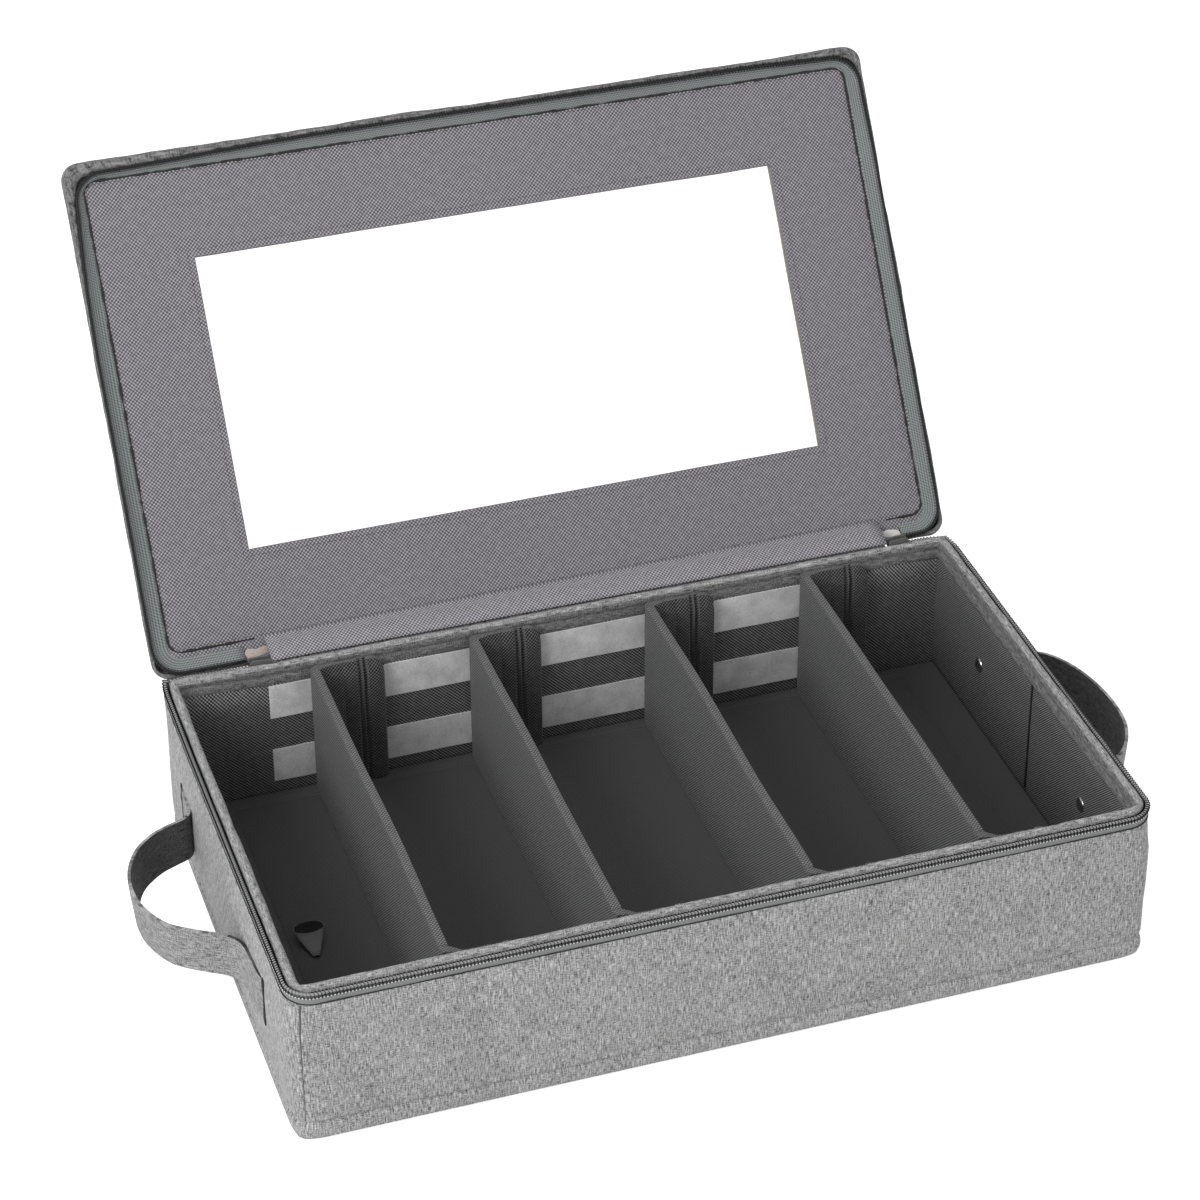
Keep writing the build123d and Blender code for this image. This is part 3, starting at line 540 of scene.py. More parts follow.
def box_chart(bm):
    """UVs in metres from the two axes that each face lies in."""
    chart = bm.loops.layers.uv.new("cloth")
    bm.normal_update()
    for face in bm.faces:
        facing = [abs(part) for part in face.normal]
        across, up = ((1, 2), (0, 2), (0, 1))[facing.index(max(facing))]
        for loop in face.loops:
            loop[chart].uv = (loop.vert.co[across] * MM, loop.vert.co[up] * MM)


# %% Softness, belly and the open lid
def soften(bm, amount, size, seed=0.0, only=None):
    """Moves points along their normals by smooth noise."""
    bm.normal_update()
    for vert in bm.verts:
        if only is None or only(vert.co):
            drift = noise.noise(vert.co / size + Vector((seed, seed * 0.7, seed * 1.3)))
            vert.co += vert.normal * amount * drift


BELLY_LEFT, BELLY_RIGHT, BELLY_LONG, BELLY_TOP = 2.2, 1.2, 1.2, 78.0


def swell(bm):
    """The outward belly of the walls, nothing at the ground, the rim and the corners."""
    for vert in bm.verts:
        x, y, z = vert.co
        lift = math.sin(math.pi * min(1.0, max(0.0, z / BELLY_TOP)))
        over_x, over_y = abs(x) - (HALF_X - 14), abs(y) - (HALF_Y - 13)
        if over_x > 0:
            along = max(0.0, 1 - (y / HALF_Y) ** 2)
            vert.co.x += (BELLY_RIGHT if x > 0 else -BELLY_LEFT) * lift * along * min(1.0, over_x / 12)
        if over_y > 0:
            along = max(0.0, 1 - (x / HALF_X) ** 2)
            vert.co.y += math.copysign(BELLY_LONG, y) * lift * along * min(1.0, over_y / 11)


def open_lid(bm):
    """Fits a piece of the shut lid to the raised corner below it, then turns it to the open lid."""
    raise_corner(bm)
    bmesh.ops.rotate(bm, verts=bm.verts, cent=HINGE, matrix=LID_TURN)


# %% Hand a piece over
def piece(name, bm, material, body, stands_for=(), sharp=None, check_normals=True):
    """Hands a finished bmesh to the frame, in metres, creased where it turns by more than sharp degrees."""
    if check_normals:
        bmesh.ops.recalc_face_normals(bm, faces=bm.faces)
    if sharp:
        for edge in bm.edges:
            edge.smooth = len(edge.link_faces) == 2 and edge.calc_face_angle(0) < math.radians(sharp)
    bm.transform(Matrix.Scale(MM, 4))
    mesh = bpy.data.meshes.new(name)
    bm.to_mesh(mesh)
    bm.free()
    mesh.polygons.foreach_set("use_smooth", [True] * len(mesh.polygons))
    mesh.materials.append(material)
    made = bpy.data.objects.new(name, mesh)
    bpy.context.scene.collection.objects.link(made)
    if body:
        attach(made, body)
    if stands_for:
        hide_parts(*stands_for)
    print(name, len(mesh.polygons), "faces")
    return made


def second_cloth(made, material, where):
    """Gives a second material to the faces that where(face) picks, in metres."""
    made.data.materials.append(material)
    for face in made.data.polygons:
        face.material_index = 1 if where(face) else 0


def take_in(bm, other):
    """Moves another bmesh into this one."""
    holder = bpy.data.meshes.new("holder")
    other.to_mesh(holder)
    other.free()
    bm.from_mesh(holder)
    bpy.data.meshes.remove(holder)

# %% [markdown]
# ## Outer cover
# The cover is one sheet wrapped round four boards. Its section has what a sewn cover has: a soft turn at
# the ground, a hem seam 10 mm up where the side panel meets the base panel, with the hem bulging below it,
# a slack belly, and a folded top edge under the zip tape. It is swept once round the case. The front panel
# is joined to the end panel a few millimetres in from the front left corner, so a groove is cut and pressed
# in there.

# %% Outer cover
cover_section = [
    (2.6, 0.05), (1.0, 0.25), (0.25, 0.9), (-0.25, 2.2), (-0.5, 4.5), (-0.45, 7.0), (-0.1, 8.7),
    (0.95, 9.5), (1.0, 10.1), (0.2, 10.8), (-0.1, 12.5), (-0.15, 20), (-0.15, 30), (-0.15, 40),
    (-0.15, 50), (-0.15, 60), (-0.15, 68), (-0.1, 72.5), (-0.15, 74.4), (0.15, 75.3), (0.8, 75.5),
    (1.3, 75.0), (1.3, 73), (1.3, 40), (1.3, 10), (1.3, 1.6), (2.2, 1.2),
]
SEAM_X = -194.5
OUTER_FACE = 84.0
cover = sweep(cover_section, CASE, step=6.0)
cut(cover, 0, (SEAM_X - 0.5, SEAM_X, SEAM_X + 0.5), lambda c: c.y < -100 and c.x < -180 and c.z > 10.5)
rise = cover.verts.layers.float["rise"]
for vert in cover.verts:
    if vert[rise] < OUTER_FACE:
        if abs(vert.co.x - SEAM_X) < 0.1 and vert.co.y < -112 and 11 < vert.co.z < 75.2:
            vert.co.y += 0.9
        if 9.2 < vert.co.z < 10.4:
            vert.co.z += 0.7 * noise.noise(Vector((vert.co.x / 28, vert.co.y / 28, 3.0)))


def cover_corners(inset, co):
    """Half square at the ground. Towards the rim, pinched at the back and round in front."""
    up = ramp(co.z, 58, 74)
    return 0.5 + (PINCH if co.y > 0 else 0.0) * up - 0.5 * up


square_up(cover, cover_corners)
soften(cover, 0.9, 55, 1.0, lambda co: co.z > 12 and co.z < 72)
soften(cover, 0.25, 14, 2.0, lambda co: co.z > 11)
swell(cover)
raise_corner(cover)
made = piece("outer_cover_cloth", cover, linen, "case", ["outer_cover"])

# %% [markdown]
# ## Underside
# The base panel is a flat cloth-covered board. It starts as a cube, gets round corners by a bevel of its
# upright edges and a softer lower edge. A stitched groove runs round it. Cuts across the whole panel give
# the groove its points, and only those that lie on the groove are pressed in.

# %% Underside panel
def climb(edge):
    """The difference in height between an edge's ends."""
    return abs(edge.verts[0].co.z - edge.verts[1].co.z)


def round_off(bm, edges, radius, segments):
    """Bevels edges round."""
    bmesh.ops.bevel(
        bm, geom=edges, offset=radius, segments=segments, affect="EDGES", profile=0.5, material=-1
    )


def slab(size, middle, corner, edge, corner_segments=6, edge_segments=3):
    """A rounded flat board: bevelled upright corners, then softened top and bottom edges."""
    bm = bmesh.new()
    bmesh.ops.create_cube(bm, size=1.0)
    bmesh.ops.scale(bm, vec=size, verts=bm.verts)
    round_off(bm, [e for e in bm.edges if climb(e) > 0.5 * size[2]], corner, corner_segments)
    if edge:
        round_off(bm, [e for e in bm.edges if climb(e) < 0.001], edge, edge_segments)
    bmesh.ops.translate(bm, verts=bm.verts, vec=middle)
    return bm


def press_groove(bm, line_x, line_y, surface, depth, width=0.6):
    """Presses a rectangular stitched groove into the level face at height surface."""
    for axis, line in enumerate((line_x, line_y)):
        cut(bm, axis, [side * (line + step) for side in (-1, 1) for step in (-width, 0, width)])
    for vert in bm.verts:
        on_x = abs(abs(vert.co.x) - line_x) < 0.05 and abs(vert.co.y) < line_y + 0.05
        on_y = abs(abs(vert.co.y) - line_y) < 0.05 and abs(vert.co.x) < line_x + 0.05
        if (on_x or on_y) and abs(vert.co.z - surface) < 0.35:
            vert.co.z += depth


underside = slab((2 * HALF_X - 3.2, 2 * HALF_Y - 3.2, 1.2), (0, 0, 0.65), 8, 0.4)
press_groove(underside, 190.0, 111.0, 0.05, 0.4)
box_chart(underside)
piece("base_panel_cloth", underside, under_cloth, "case", ["cover_bottom"], sharp=50)

# %% [markdown]
# ## Rim
# The linen is folded over the top of the walls and about a finger's width down inside. The section is an
# upside down U with a round top, a crease half way down where the fold is caught, and a small step where it
# ends on the lining. Outside, the fold turns with the boards. Inside it is pinched, so the inner corners
# are nearly square.

# %% Folded rim
rim_section = [
    (2.9, 72.5), (2.7, 76.0), (2.7, 79.5), (2.9, 81.4), (3.5, 82.7), (4.5, 83.2), (5.7, 83.0),
    (6.7, 82.0), (7.15, 80.4), (7.2, 78.9), (6.75, 78.0), (7.1, 77.0), (7.5, 75.0), (7.5, 73.0),
    (7.2, 71.9), (6.5, 71.8), (6.3, 73.0), (6.3, 81.0), (5.4, 82.1), (4.3, 82.1), (3.8, 80.8),
    (3.6, 72.5),
]
rim = sweep(rim_section, CASE, step=5.0, bends=8, along=True)
square_up(rim, lambda inset, co: 0.75 if co.y > 0 else 0.7 * ramp(inset, 3.0, 6.5))
for vert in rim.verts:
    if vert.co.z < 79.5 and vert.co.y < HALF_Y - 6:
        vert.co.z += 0.8 * ramp(vert.co.y, 100, 112) * (1 - ramp(vert.co.z, 75, 79.5))
soften(rim, 0.42, 16, 5.0)
soften(rim, 0.25, 5.5, 6.0)
raise_corner(rim)
made = piece("rim_fold", rim, rim_linen_painted_shade, "case", ["rim_binding"])


def faces_inwards(face):
    """Whether a face of the rim lies on its inner side, below the round top."""
    inset = min(HALF_X * MM - abs(face.center.x), HALF_Y * MM - abs(face.center.y))
    return inset > 0.0061 and face.center.z < 0.0818


# the rim's inner faces take the darker copy of its linen: painted shade
second_cloth(made, rim_inner_painted_shade, faces_inwards)

# %% [markdown]
# ## Wall lining
# The lining is a square-cornered sleeve between the floor and the rim. Embossed cloth covers the long
# walls, and a closer emboss covers the ends. The end walls fold inwards when the case is packed flat, so a
# crease runs down the middle of each one. One mesh carries both cloths, picked by where a face looks.

# %% Wall lining
lining_section = [
    (0.0, 4.7), (0.0, 12), (0.05, 24), (0.1, 36), (0.1, 48), (0.05, 60), (0.0, 71.6), (-0.7, 71.6),
    (-0.7, 38), (-0.7, 4.7),
]
lining = sweep(lining_section, LINING, step=5.0, bends=3)
cut(lining, 1, (-1.2, -0.5, 0.5, 1.2))
for vert in lining.verts:
    if vert.co.z > 71:
        vert.co.z += 2.4 * ramp(vert.co.y, 100, 112)
    if abs(vert.co.x) > 190:
        away = abs(vert.co.y)
        vert.co.x += math.copysign(0.7 if away < 0.6 else (-0.25 if away < 6 else 0.0), vert.co.x)
soften(lining, 0.25, 40, 8.0)
raise_corner(lining)
made = piece("wall_lining_cloth", lining, back_lining, "case", ["wall_lining"])
second_cloth(made, end_lining, lambda face: abs(face.center.x) > 0.1915)
# a thin dark strip down each end wall's crease is painted shade
for side_name, side in (("left", -1), ("right", 1)):
    crease = slab((0.5, 0.7, 60), (side * 192.75, 0, 41.5), 0.15, 0, 2)
    cut(crease, 2, range(15, 71, 5))
    soften(crease, 0.25, 9, side * 4.0)
    piece(f"{side_name}_wall_crease", crease, dark_thread_and_painted_shade, "case", ())

# %% [markdown]
# ## Base board and its pull tab
# A loose board in a cloth envelope covers the floor. Its seam is a groove 8 mm from the long walls and 20
# mm from the ends. The pull tab is a short tape folded into a cone: flat where it is sewn down, with a
# round mouth that opens upwards, so a finger can hook it. A circle extruded ring by ring makes it. When the
# tab is turned over it is pressed flat, so it squashes with its joint.

# %% Base board envelope
envelope = slab((384.4, 226.4, 5.4), (0, 0, 8.4), 3.0, 1.2)
press_groove(envelope, 172.8, 105.4, 11.1, -0.75, 1.1)
cut(envelope, 0, range(-160, 161, 20))
cut(envelope, 1, range(-90, 91, 20))
soften(envelope, 0.35, 60, 11.0, lambda co: co.z > 10.5 and abs(co.x) < 182)
box_chart(envelope)
piece("base_board_envelope", envelope, board_cloth, "case", ["base_board_sleeve"], sharp=50)

# %% Pull tab
TAB_X = -163.0
tab = bmesh.new()
angle_layer = tab.verts.layers.float.new("angle")
run = tab.verts.layers.float.new("run")
bmesh.ops.create_circle(tab, segments=24, radius=1.0)
for vert in tab.verts:
    vert[angle_layer] = math.atan2(vert.co.y, vert.co.x)


def tab_ring(verts, y, z, half_width, half_depth, heading):
    """Sets one ring of the cone: its middle, half sizes and heading above level."""
    turn = math.radians(heading)
    for vert in verts:
        across, up = half_width * math.cos(vert[angle_layer]), half_depth * math.sin(vert[angle_layer])
        vert.co = Vector((TAB_X + across, y - up * math.sin(turn), z + up * math.cos(turn)))


TAB_RINGS = [
    (-15.0, 12.2, 1.6, 0.5, 5), (-11.5, 12.7, 2.8, 0.9, 20), (-8.0, 13.4, 4.2, 1.6, 40),
    (-5.0, 14.4, 5.5, 2.3, 60), (-2.6, 15.7, 6.5, 3.0, 78), (-1.0, 16.9, 7.0, 3.5, 92),
    (-0.4, 17.9, 7.2, 3.7, 98),
]
tab_ring(tab.verts, *TAB_RINGS[0])
edges = tab.edges[:]
root_ring = list(edges)
for spot in TAB_RINGS[1:]:
    fresh, edges = step_on(tab, edges)
    tab_ring(fresh, *spot)
    for vert in fresh:
        vert[run] += 3.0
bmesh.ops.holes_fill(tab, edges=root_ring, sides=0)
chart_from(tab, lambda vert: (vert.co.x, vert[run]))
bmesh.ops.recalc_face_normals(tab, faces=tab.faces)
bmesh.ops.solidify(tab, geom=tab.faces[:], thickness=0.45)
made = piece("pull_tab_cone", tab, tab_cloth, "base_tab", ["base_pull_tab"])
middles = [Vector((TAB_X, y, z)) * MM for y, z, *_ in TAB_RINGS]


def faces_into_tab(face):
    """Whether a face of the tab looks at the middle of its nearest ring."""
    middle = min(middles, key=lambda spot: (spot - face.center).length)
    return face.normal.dot(face.center - middle) < 0


# faces inside the cone get the dark material: painted shade in the tab's mouth
second_cloth(made, hook_tape_and_painted_shade, faces_into_tab)
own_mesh(made)

# %% [markdown]
# ## Hook-and-loop strips
# Each long wall carries two rows of soft loop tape. They are thin slabs with slightly wavy edges and a
# brushed nap.

# %% Loop strips on the walls
for side_name, side in (("front", -1), ("back", 1)):
    for row, height in (("upper", 63.3), ("lower", 26.3)):
        strip = slab((300, 0.8, 18.5), (0, side * 113.5, height), 0.25, 0, 2)
        cut(strip, 0, range(-135, 136, 15))
        for vert in strip.verts:
            vert.co.z += 0.35 * noise.noise(Vector((vert.co.x / 30, height, vert.co.z)))
        box_chart(strip)
        stands_for = [f"{side_name}_{row}_loop_strip"]
        piece(f"{side_name}_{row}_loop_tape", strip, nap, "case", stands_for, sharp=40)

# %% [markdown]
# ## Dividers
# A divider is one folded sleeve: a web across the case and a flap at each end, all of the same padded
# thickness. Its plan is drawn as one outline, with the two stitched grooves that end the flap's board,
# extruded upwards and bevelled along the top. The top of each flap leans back against the wall and its free
# corner is round.

# %% Divider sleeves
FLAP = [
    (31.0, 111.9), (33.4, 111.4), (34.2, 109.6), (33.2, 107.7), (30.0, 106.8), (25.9, 107.1),
    (24.9, 109.2), (24.0, 109.2), (23.2, 107.1), (22.4, 109.1), (21.4, 109.1), (20.4, 107.3),
    (14.6, 107.5), (14.0, 107.9), (13.4, 107.5), (2.2, 107.7),
]
DIVIDER_FOOT, DIVIDER_TALL = 11.8, 69.2


def web_bow(number, y):
    """How far a divider's web bows sideways along its top edge."""
    reach = max(0.0, 1 - (y / 106) ** 2)
    return 1.6 * noise.noise(Vector((number * 3.7, y / 90, 0.0))) * reach


def divider(number, x):
    """One sleeve: the outline of web and flaps, drawn up and then eased."""
    front = [(x - 2.2, -108.4), (x - 1.4, -110.8), (x + 0.6, -111.9)] + [(x + px, -py) for px, py in FLAP]
    back = [(px, -py) for px, py in reversed(front)]
    bm = bmesh.new()
    foot = bm.faces.new([bm.verts.new((px, py, DIVIDER_FOOT)) for px, py in front + back])
    grown = bmesh.ops.extrude_face_region(bm, geom=[foot])["geom"]
    upper = [item for item in grown if isinstance(item, bmesh.types.BMVert)]
    bmesh.ops.translate(bm, verts=upper, vec=(0, 0, DIVIDER_TALL))
    round_off(bm, [e for e in bm.edges if min(v.co.z for v in e.verts) > 80.9], 0.4, 2)
    cut(bm, 0, (x + 2.21, x + 8, x + 18, x + 27, x + 28.5, x + 30, x + 31.5, x + 32.8, x + 33.8))
    cut(bm, 1, range(-98, 99, 14))
    cut(bm, 2, (20, 30, 40, 50, 60, 68, 72, 74, 76, 78))
    for vert in bm.verts:
        away, height = vert.co.x - x, (vert.co.z - DIVIDER_FOOT) / DIVIDER_TALL
        vert.co.x += web_bow(number, vert.co.y) * height
        top = max(0.0, (vert.co.z - 68) / 13)
        if away > 3:
            if abs(vert.co.y) < 109.6:
                vert.co.y += math.copysign(1.9 * ramp(vert.co.z, 73, 81), vert.co.y)
            if away > 27:
                share = min(1.0, (away - 27) / 7.2)
                vert.co.z -= 7.0 * (1 - math.sqrt(1 - share * share)) * top
            if vert.co.y < 0:
                vert.co.z -= 2.6 * top * ramp(away, 2, 10)
    soften(bm, 0.3, 22, number * 2.3, lambda co: co.z > 14 and abs(co.y) < 106)
    box_chart(bm)
    return bm


# the flaps' broad faces get the darker copy of the divider cloth: painted shade
for number, x in enumerate(DIVIDERS, start=1):
    body = f"divider_{number}"
    stands_for = [f"{body}_sleeve", f"{body}_boards"]
    sleeve = divider(number, x)
    made = piece(f"{body}_cloth", sleeve, divider_cloth, body, stands_for, sharp=38)
    second_cloth(made, flap_painted_shade, lambda face: abs(face.normal.y) > 0.6 and abs(face.center.y) > 0.1)

# %% Herringbone binding along each divider's top edge
for number, x in enumerate(DIVIDERS, start=1):
    bm = slab((4.3, 214.6, 1.5), (x, 0, 80.9), 0.8, 0.5, 2, 3)
    cut(bm, 1, range(-98, 99, 14))
    for vert in bm.verts:
        vert.co.x += web_bow(number, vert.co.y)
    box_chart(bm)
    body = f"divider_{number}"
    piece(f"{body}_top_binding", bm, ridge_cloth, body, (), sharp=38)

# %% [markdown]
# ## Zip tape on the case
# The woven tape is sewn under the top edge of the cover and carries the coil. Below the coil it shows as a
# smooth band about 3 mm wide. It starts and ends on the back wall, so this sweep is open, with capped ends.

# %% Case zip tape
case_tape_section = [
    (0.75, 74.9), (0.45, 75.6), (0.15, 76.6), (0.05, 78.0), (0.25, 79.3), (1.1, 80.0), (2.2, 80.3),
    (2.5, 79.6), (1.5, 78.0), (1.5, 75.5), (1.2, 74.9),
]
case_ends = (ZIP_LEFT + 2.2, ZIP_RIGHT - 2.2)
tape = sweep(case_tape_section, CASE, *case_ends, step=5.0, bends=8)
soften(tape, 0.2, 12, 14.0)
fit_to_rim(tape)
piece("case_tape", tape, tape_cloth, "case", ["case_zip_tape"])

# %% [markdown]
# ## Coil
# A coil zip is one nylon wire wound round a cord into hundreds of small loops. One loop is a small circle
# spun into a ring and leaned over, and copies of it are set along the same path as the tape at even steps.
# Each loop has only 50 faces, because there are about 600 of them on each half. The case's cord is painted
# pale between them, to stand in for the highlights on the loops.

# %% Stations along the path
def stations(outline, start_x, end_x, pitch):
    """Places and headings at even steps along the path."""
    radius = outline[2]
    spots = []
    place = Vector((start_x, outline[1], 0))
    heading = math.pi
    travelled = pitch / 2
    for kind, way, *rest in journey(outline, start_x, end_x):
        way = Vector((*way, 0))
        if kind == "go":
            distance = rest[0]
            while travelled < distance:
                spots.append((place + way * travelled, heading))
                travelled += pitch
            place = place + way * distance
        else:
            distance = radius * math.pi / 2
            spoke = place - way
            while travelled < distance:
                turn = travelled / radius
                spots.append((way + Matrix.Rotation(turn, 3, "Z") @ spoke, heading + turn))
                travelled += pitch
            place = way + Matrix.Rotation(math.pi / 2, 3, "Z") @ spoke
            heading += math.pi / 2
        travelled -= distance
    return spots


# %% Copies of a small shape
def scatter(template, spots, height, tip=0.0, moved=None):
    """One mesh made of copies of the template, set at each spot and turned to its heading."""
    bm = bmesh.new()
    for place, heading in spots:
        copy = template.copy()
        wobble = 0.1 * noise.noise(Vector((place.x / 17, place.y / 17, height)))
        spot = Vector((place.x, place.y, height + wobble))
        if moved:
            spot += moved(spot)
        turn = Matrix.Rotation(heading, 4, "Z") @ Matrix.Rotation(tip, 4, "Z")
        copy.transform(Matrix.Translation(spot) @ turn)
        bm.from_mesh(copy)
        bpy.data.meshes.remove(copy)
    return bm


def template_mesh(name, bm):
    """A bmesh kept as a mesh to copy from."""
    bmesh.ops.recalc_face_normals(bm, faces=bm.faces)
    mesh = bpy.data.meshes.new(name)
    bm.to_mesh(mesh)
    bm.free()
    return mesh


# %% Case coil and its cord
COIL_PITCH, LOOP_LEAN = 1.55, 0.3
CASE_COIL_LEVEL, LID_COIL_LEVEL = 80.65, 83.25
loop_ring = bmesh.new()
bmesh.ops.create_circle(loop_ring, segments=5, radius=0.31)
bmesh.ops.rotate(loop_ring, verts=loop_ring.verts, matrix=Matrix.Rotation(math.pi / 2, 3, "Y"))
bmesh.ops.translate(loop_ring, verts=loop_ring.verts, vec=(0, 0, 0.92))
bmesh.ops.spin(
    loop_ring, geom=loop_ring.verts[:] + loop_ring.edges[:], cent=(0, 0, 0), axis=(1, 0, 0),
    angle=2 * math.pi, steps=10, use_merge=True, use_duplicate=False,
)
bmesh.ops.scale(loop_ring, verts=loop_ring.verts, vec=(1.0, 1.42, 0.9))
coil_loop = template_mesh("coil loop", loop_ring)
case_spots = stations(inside(CASE, 0.9), *case_ends, COIL_PITCH)
case_coil = scatter(coil_loop, case_spots, CASE_COIL_LEVEL, LOOP_LEAN)
fit_to_rim(case_coil)
piece("case_coil", case_coil, coil_nylon, "case", ["case_zip_coil"], check_normals=False)
# the cord is real, and its pale colour is a painted highlight between the loops
cord_section = [
    (0.4, 80.1), (0.2, 80.6), (0.45, 81.1), (0.9, 81.25), (1.35, 81.1), (1.6, 80.6), (1.4, 80.1),
]
cord = sweep(cord_section, CASE, *case_ends, step=8.0, bends=8)
fit_to_rim(cord)
piece("case_coil_cord", cord, pale_thread_and_painted_highlight, "case", ())

# %% [markdown]
# ## Stitches
# The coil is sewn to its tape with pale thread, which shows as a rope-like row of small beads below the
# coil, over the dark line where the coil's loops pass through the tape. A stitch is a tiny sphere stretched
# along the seam. A dark strip, the seam's thread and painted shadow, runs where the tape is sewn under the
# cover's edge, and a grey strip of painted shade lies in the groove of the corner seam.

# %% Stitch beads under the case coil
def thread_bead(name, size, lean=0.0):
    """One stitch: a tiny sphere, stretched and leaned."""
    bm = bmesh.new()
    bmesh.ops.create_uvsphere(bm, u_segments=6, v_segments=4, radius=1.0)
    bmesh.ops.scale(bm, verts=bm.verts, vec=size)
    bmesh.ops.rotate(bm, verts=bm.verts, matrix=Matrix.Rotation(lean, 3, "Y"))
    return template_mesh(name, bm)


stitch = thread_bead("stitch", (0.46, 0.34, 0.4), 0.5)
seam_ends = (ZIP_LEFT + 2.4, ZIP_RIGHT - 2.4)
row = stations(inside(CASE, -0.1), *seam_ends, COIL_PITCH)
beads = scatter(stitch, row, 79.0)
fit_to_rim(beads)
piece("case_coil_stitches", beads, thread, "case", (), check_normals=False)
# the tape_seam strip is the seam's thread and a painted shadow line under the tape
for name, inset, height, thick in (("needle_line", 0.05, 79.1, 0.42), ("tape_seam", 0.1, 75.65, 0.22)):
    low, high = (inset, height - thick), (inset, height + thick)
    section = [low, (inset - 0.25, height), high, (inset + 0.4, height)]
    line = sweep(section, CASE, *seam_ends, step=4.0, bends=8)
    soften(line, 0.15, 3, height)
    fit_to_rim(line)
    piece(f"case_{name}", line, dark_thread_and_painted_shade, "case", ())
# a grey strip in the corner seam's groove is painted shade
corner_seam = slab((0.5, 1.4, 63), (SEAM_X, -117.9, 43.2), 0.15, 0, 2)
cut(corner_seam, 2, range(14, 74, 4))
square_up(corner_seam, lambda inset, co: 0.5 * (1 - ramp(co.z, 58, 74)))
soften(corner_seam, 0.2, 7, 3.0)
swell(corner_seam)
piece("corner_seam_painted_shade", corner_seam, grey_thread_and_painted_shade, "case", ())
print("coil loops", len(case_spots), "stitches", len(row))

# %% [markdown]
# ## Lid cover
# The lid is a shallow tray: a linen top, a narrow skirt and a turned-in lip that carries the zip. The skirt
# and lip are swept round the lid like the rim, and the top is a flat panel with the window cut out of it.
# The zip is drawn in from the lid's edge, most of all at the front left corner, so the lip is widest there.
# Everything is drawn on the shut lid and opened at the end.

# %% How far the lid's zip is drawn in
WINDOW_X, WINDOW_Y = 145.5, 70.5


def drawn_in(point):
    """The shift of the lid's lip, tape and coil at a point: inwards, and up where it would meet the rim."""
    x, y = point.x, point.y
    front = 1.2 + 2.6 * math.exp(-(((x + HALF_X) / 80) ** 2)) + 1.3 * math.exp(-(((x - 198) / 40) ** 2))
    left = -1.2 + 4.4 * math.exp(-(((y + 122) / 48) ** 2))
    in_front = front * ramp(-y, 60, 112)
    in_left = left * ramp(-x, 150, 190)
    in_right = 0.5 * ramp(x, 150, 190) * ramp(-y, 60, 122)
    return Vector((in_left - in_right, in_front, 0.55 * min(2.6, max(0.0, in_front, in_left))))


def inset_of(point, outline):
    """How far a point lies inside the rounded outline."""
    half_x, half_y, radius = outline
    over_x, over_y = abs(point.x) - (half_x - radius), abs(point.y) - (half_y - radius)
    return radius - (math.hypot(over_x, over_y) if over_x > 0 and over_y > 0 else max(over_x, over_y))


def droop_ends(bm):
    """Beyond the ends of the hinge cloth the lid's back edge is slack and hangs towards the case."""
    for vert in bm.verts:
        free = max(ramp(-vert.co.x, 141, 150), ramp(vert.co.x, 162, 171))
        vert.co.y += 2.2 * free * ramp(vert.co.y, 84, 118)


def hang_open(bm):
    """Ends a piece of the lid's edge: slack at the back, then opened."""
    droop_ends(bm)
    open_lid(bm)


# %% A panel with a window
def window_panel(size, middle, corner, edge, corner_segments, edge_segments):
    """A flat board cut into a grid, with the window taken out of it."""
    bm = slab(size, middle, corner, edge, corner_segments, edge_segments)
    cut(bm, 0, [-WINDOW_X, WINDOW_X] + list(range(-180, 181, 20)))
    cut(bm, 1, [-WINDOW_Y, WINDOW_Y] + list(range(-100, 101, 20)))
    middles = [(face, face.calc_center_median()) for face in bm.faces]
    pane = [face for face, spot in middles if abs(spot.x) < WINDOW_X and abs(spot.y) < WINDOW_Y]
    bmesh.ops.delete(bm, geom=pane, context="FACES")
    bmesh.ops.bridge_loops(bm, edges=[e for e in bm.edges if e.is_boundary])
    return bm


# %% Lid cover
skirt_section = [
    (10.2, 92.0), (3.2, 92.0), (1.2, 91.5), (0.1, 90.2), (-0.35, 88.2), (-0.4, 86.4), (-0.1, 85.0),
    (0.7, 84.2), (1.6, 84.1), (2.3, 84.5), (2.6, 85.2), (2.3, 85.8), (1.3, 86.6), (1.2, 88.4),
    (1.6, 90.4), (3.4, 90.9), (10.2, 90.9),
]
lid_cover = sweep(skirt_section, LID, step=6.0, bends=7, along=True)
for vert in lid_cover.verts:
    if vert.co.z < 89:
        vert.co += drawn_in(vert.co) * ramp(inset_of(vert.co, LID), 0.9, 2.2)
top_panel = window_panel((381.8, 223.8, 1.1), (0, 0, 91.45), 1.5, 0, 3, 3)
box_chart(top_panel)
take_in(lid_cover, top_panel)
soften(lid_cover, 0.6, 40, 21.0)
soften(lid_cover, 0.35, 9, 22.0, lambda co: co.z < 90 or abs(co.x) > 194 or abs(co.y) > 115)
# the lid's skirt and lip take the darker copy of the rim linen: painted shade
for face in lid_cover.faces:
    face.material_index = 1 if face.calc_center_median().z < 91.2 else 0
hang_open(lid_cover)
made = piece("lid_cover_cloth", lid_cover, linen, "lid", ["lid_cover"], sharp=60)
made.data.materials.append(rim_inner_painted_shade)

# %% [markdown]
# ## Lid lining
# Inside, a pale embossed lining covers the frame board round the window. Its edges are turned under and a
# little plump, and the zip tape runs in beneath them; a dark cord along that seam is its thread and painted
# shade, all round. Two rows of stitching hold it: one round the window and one just inside its edge.

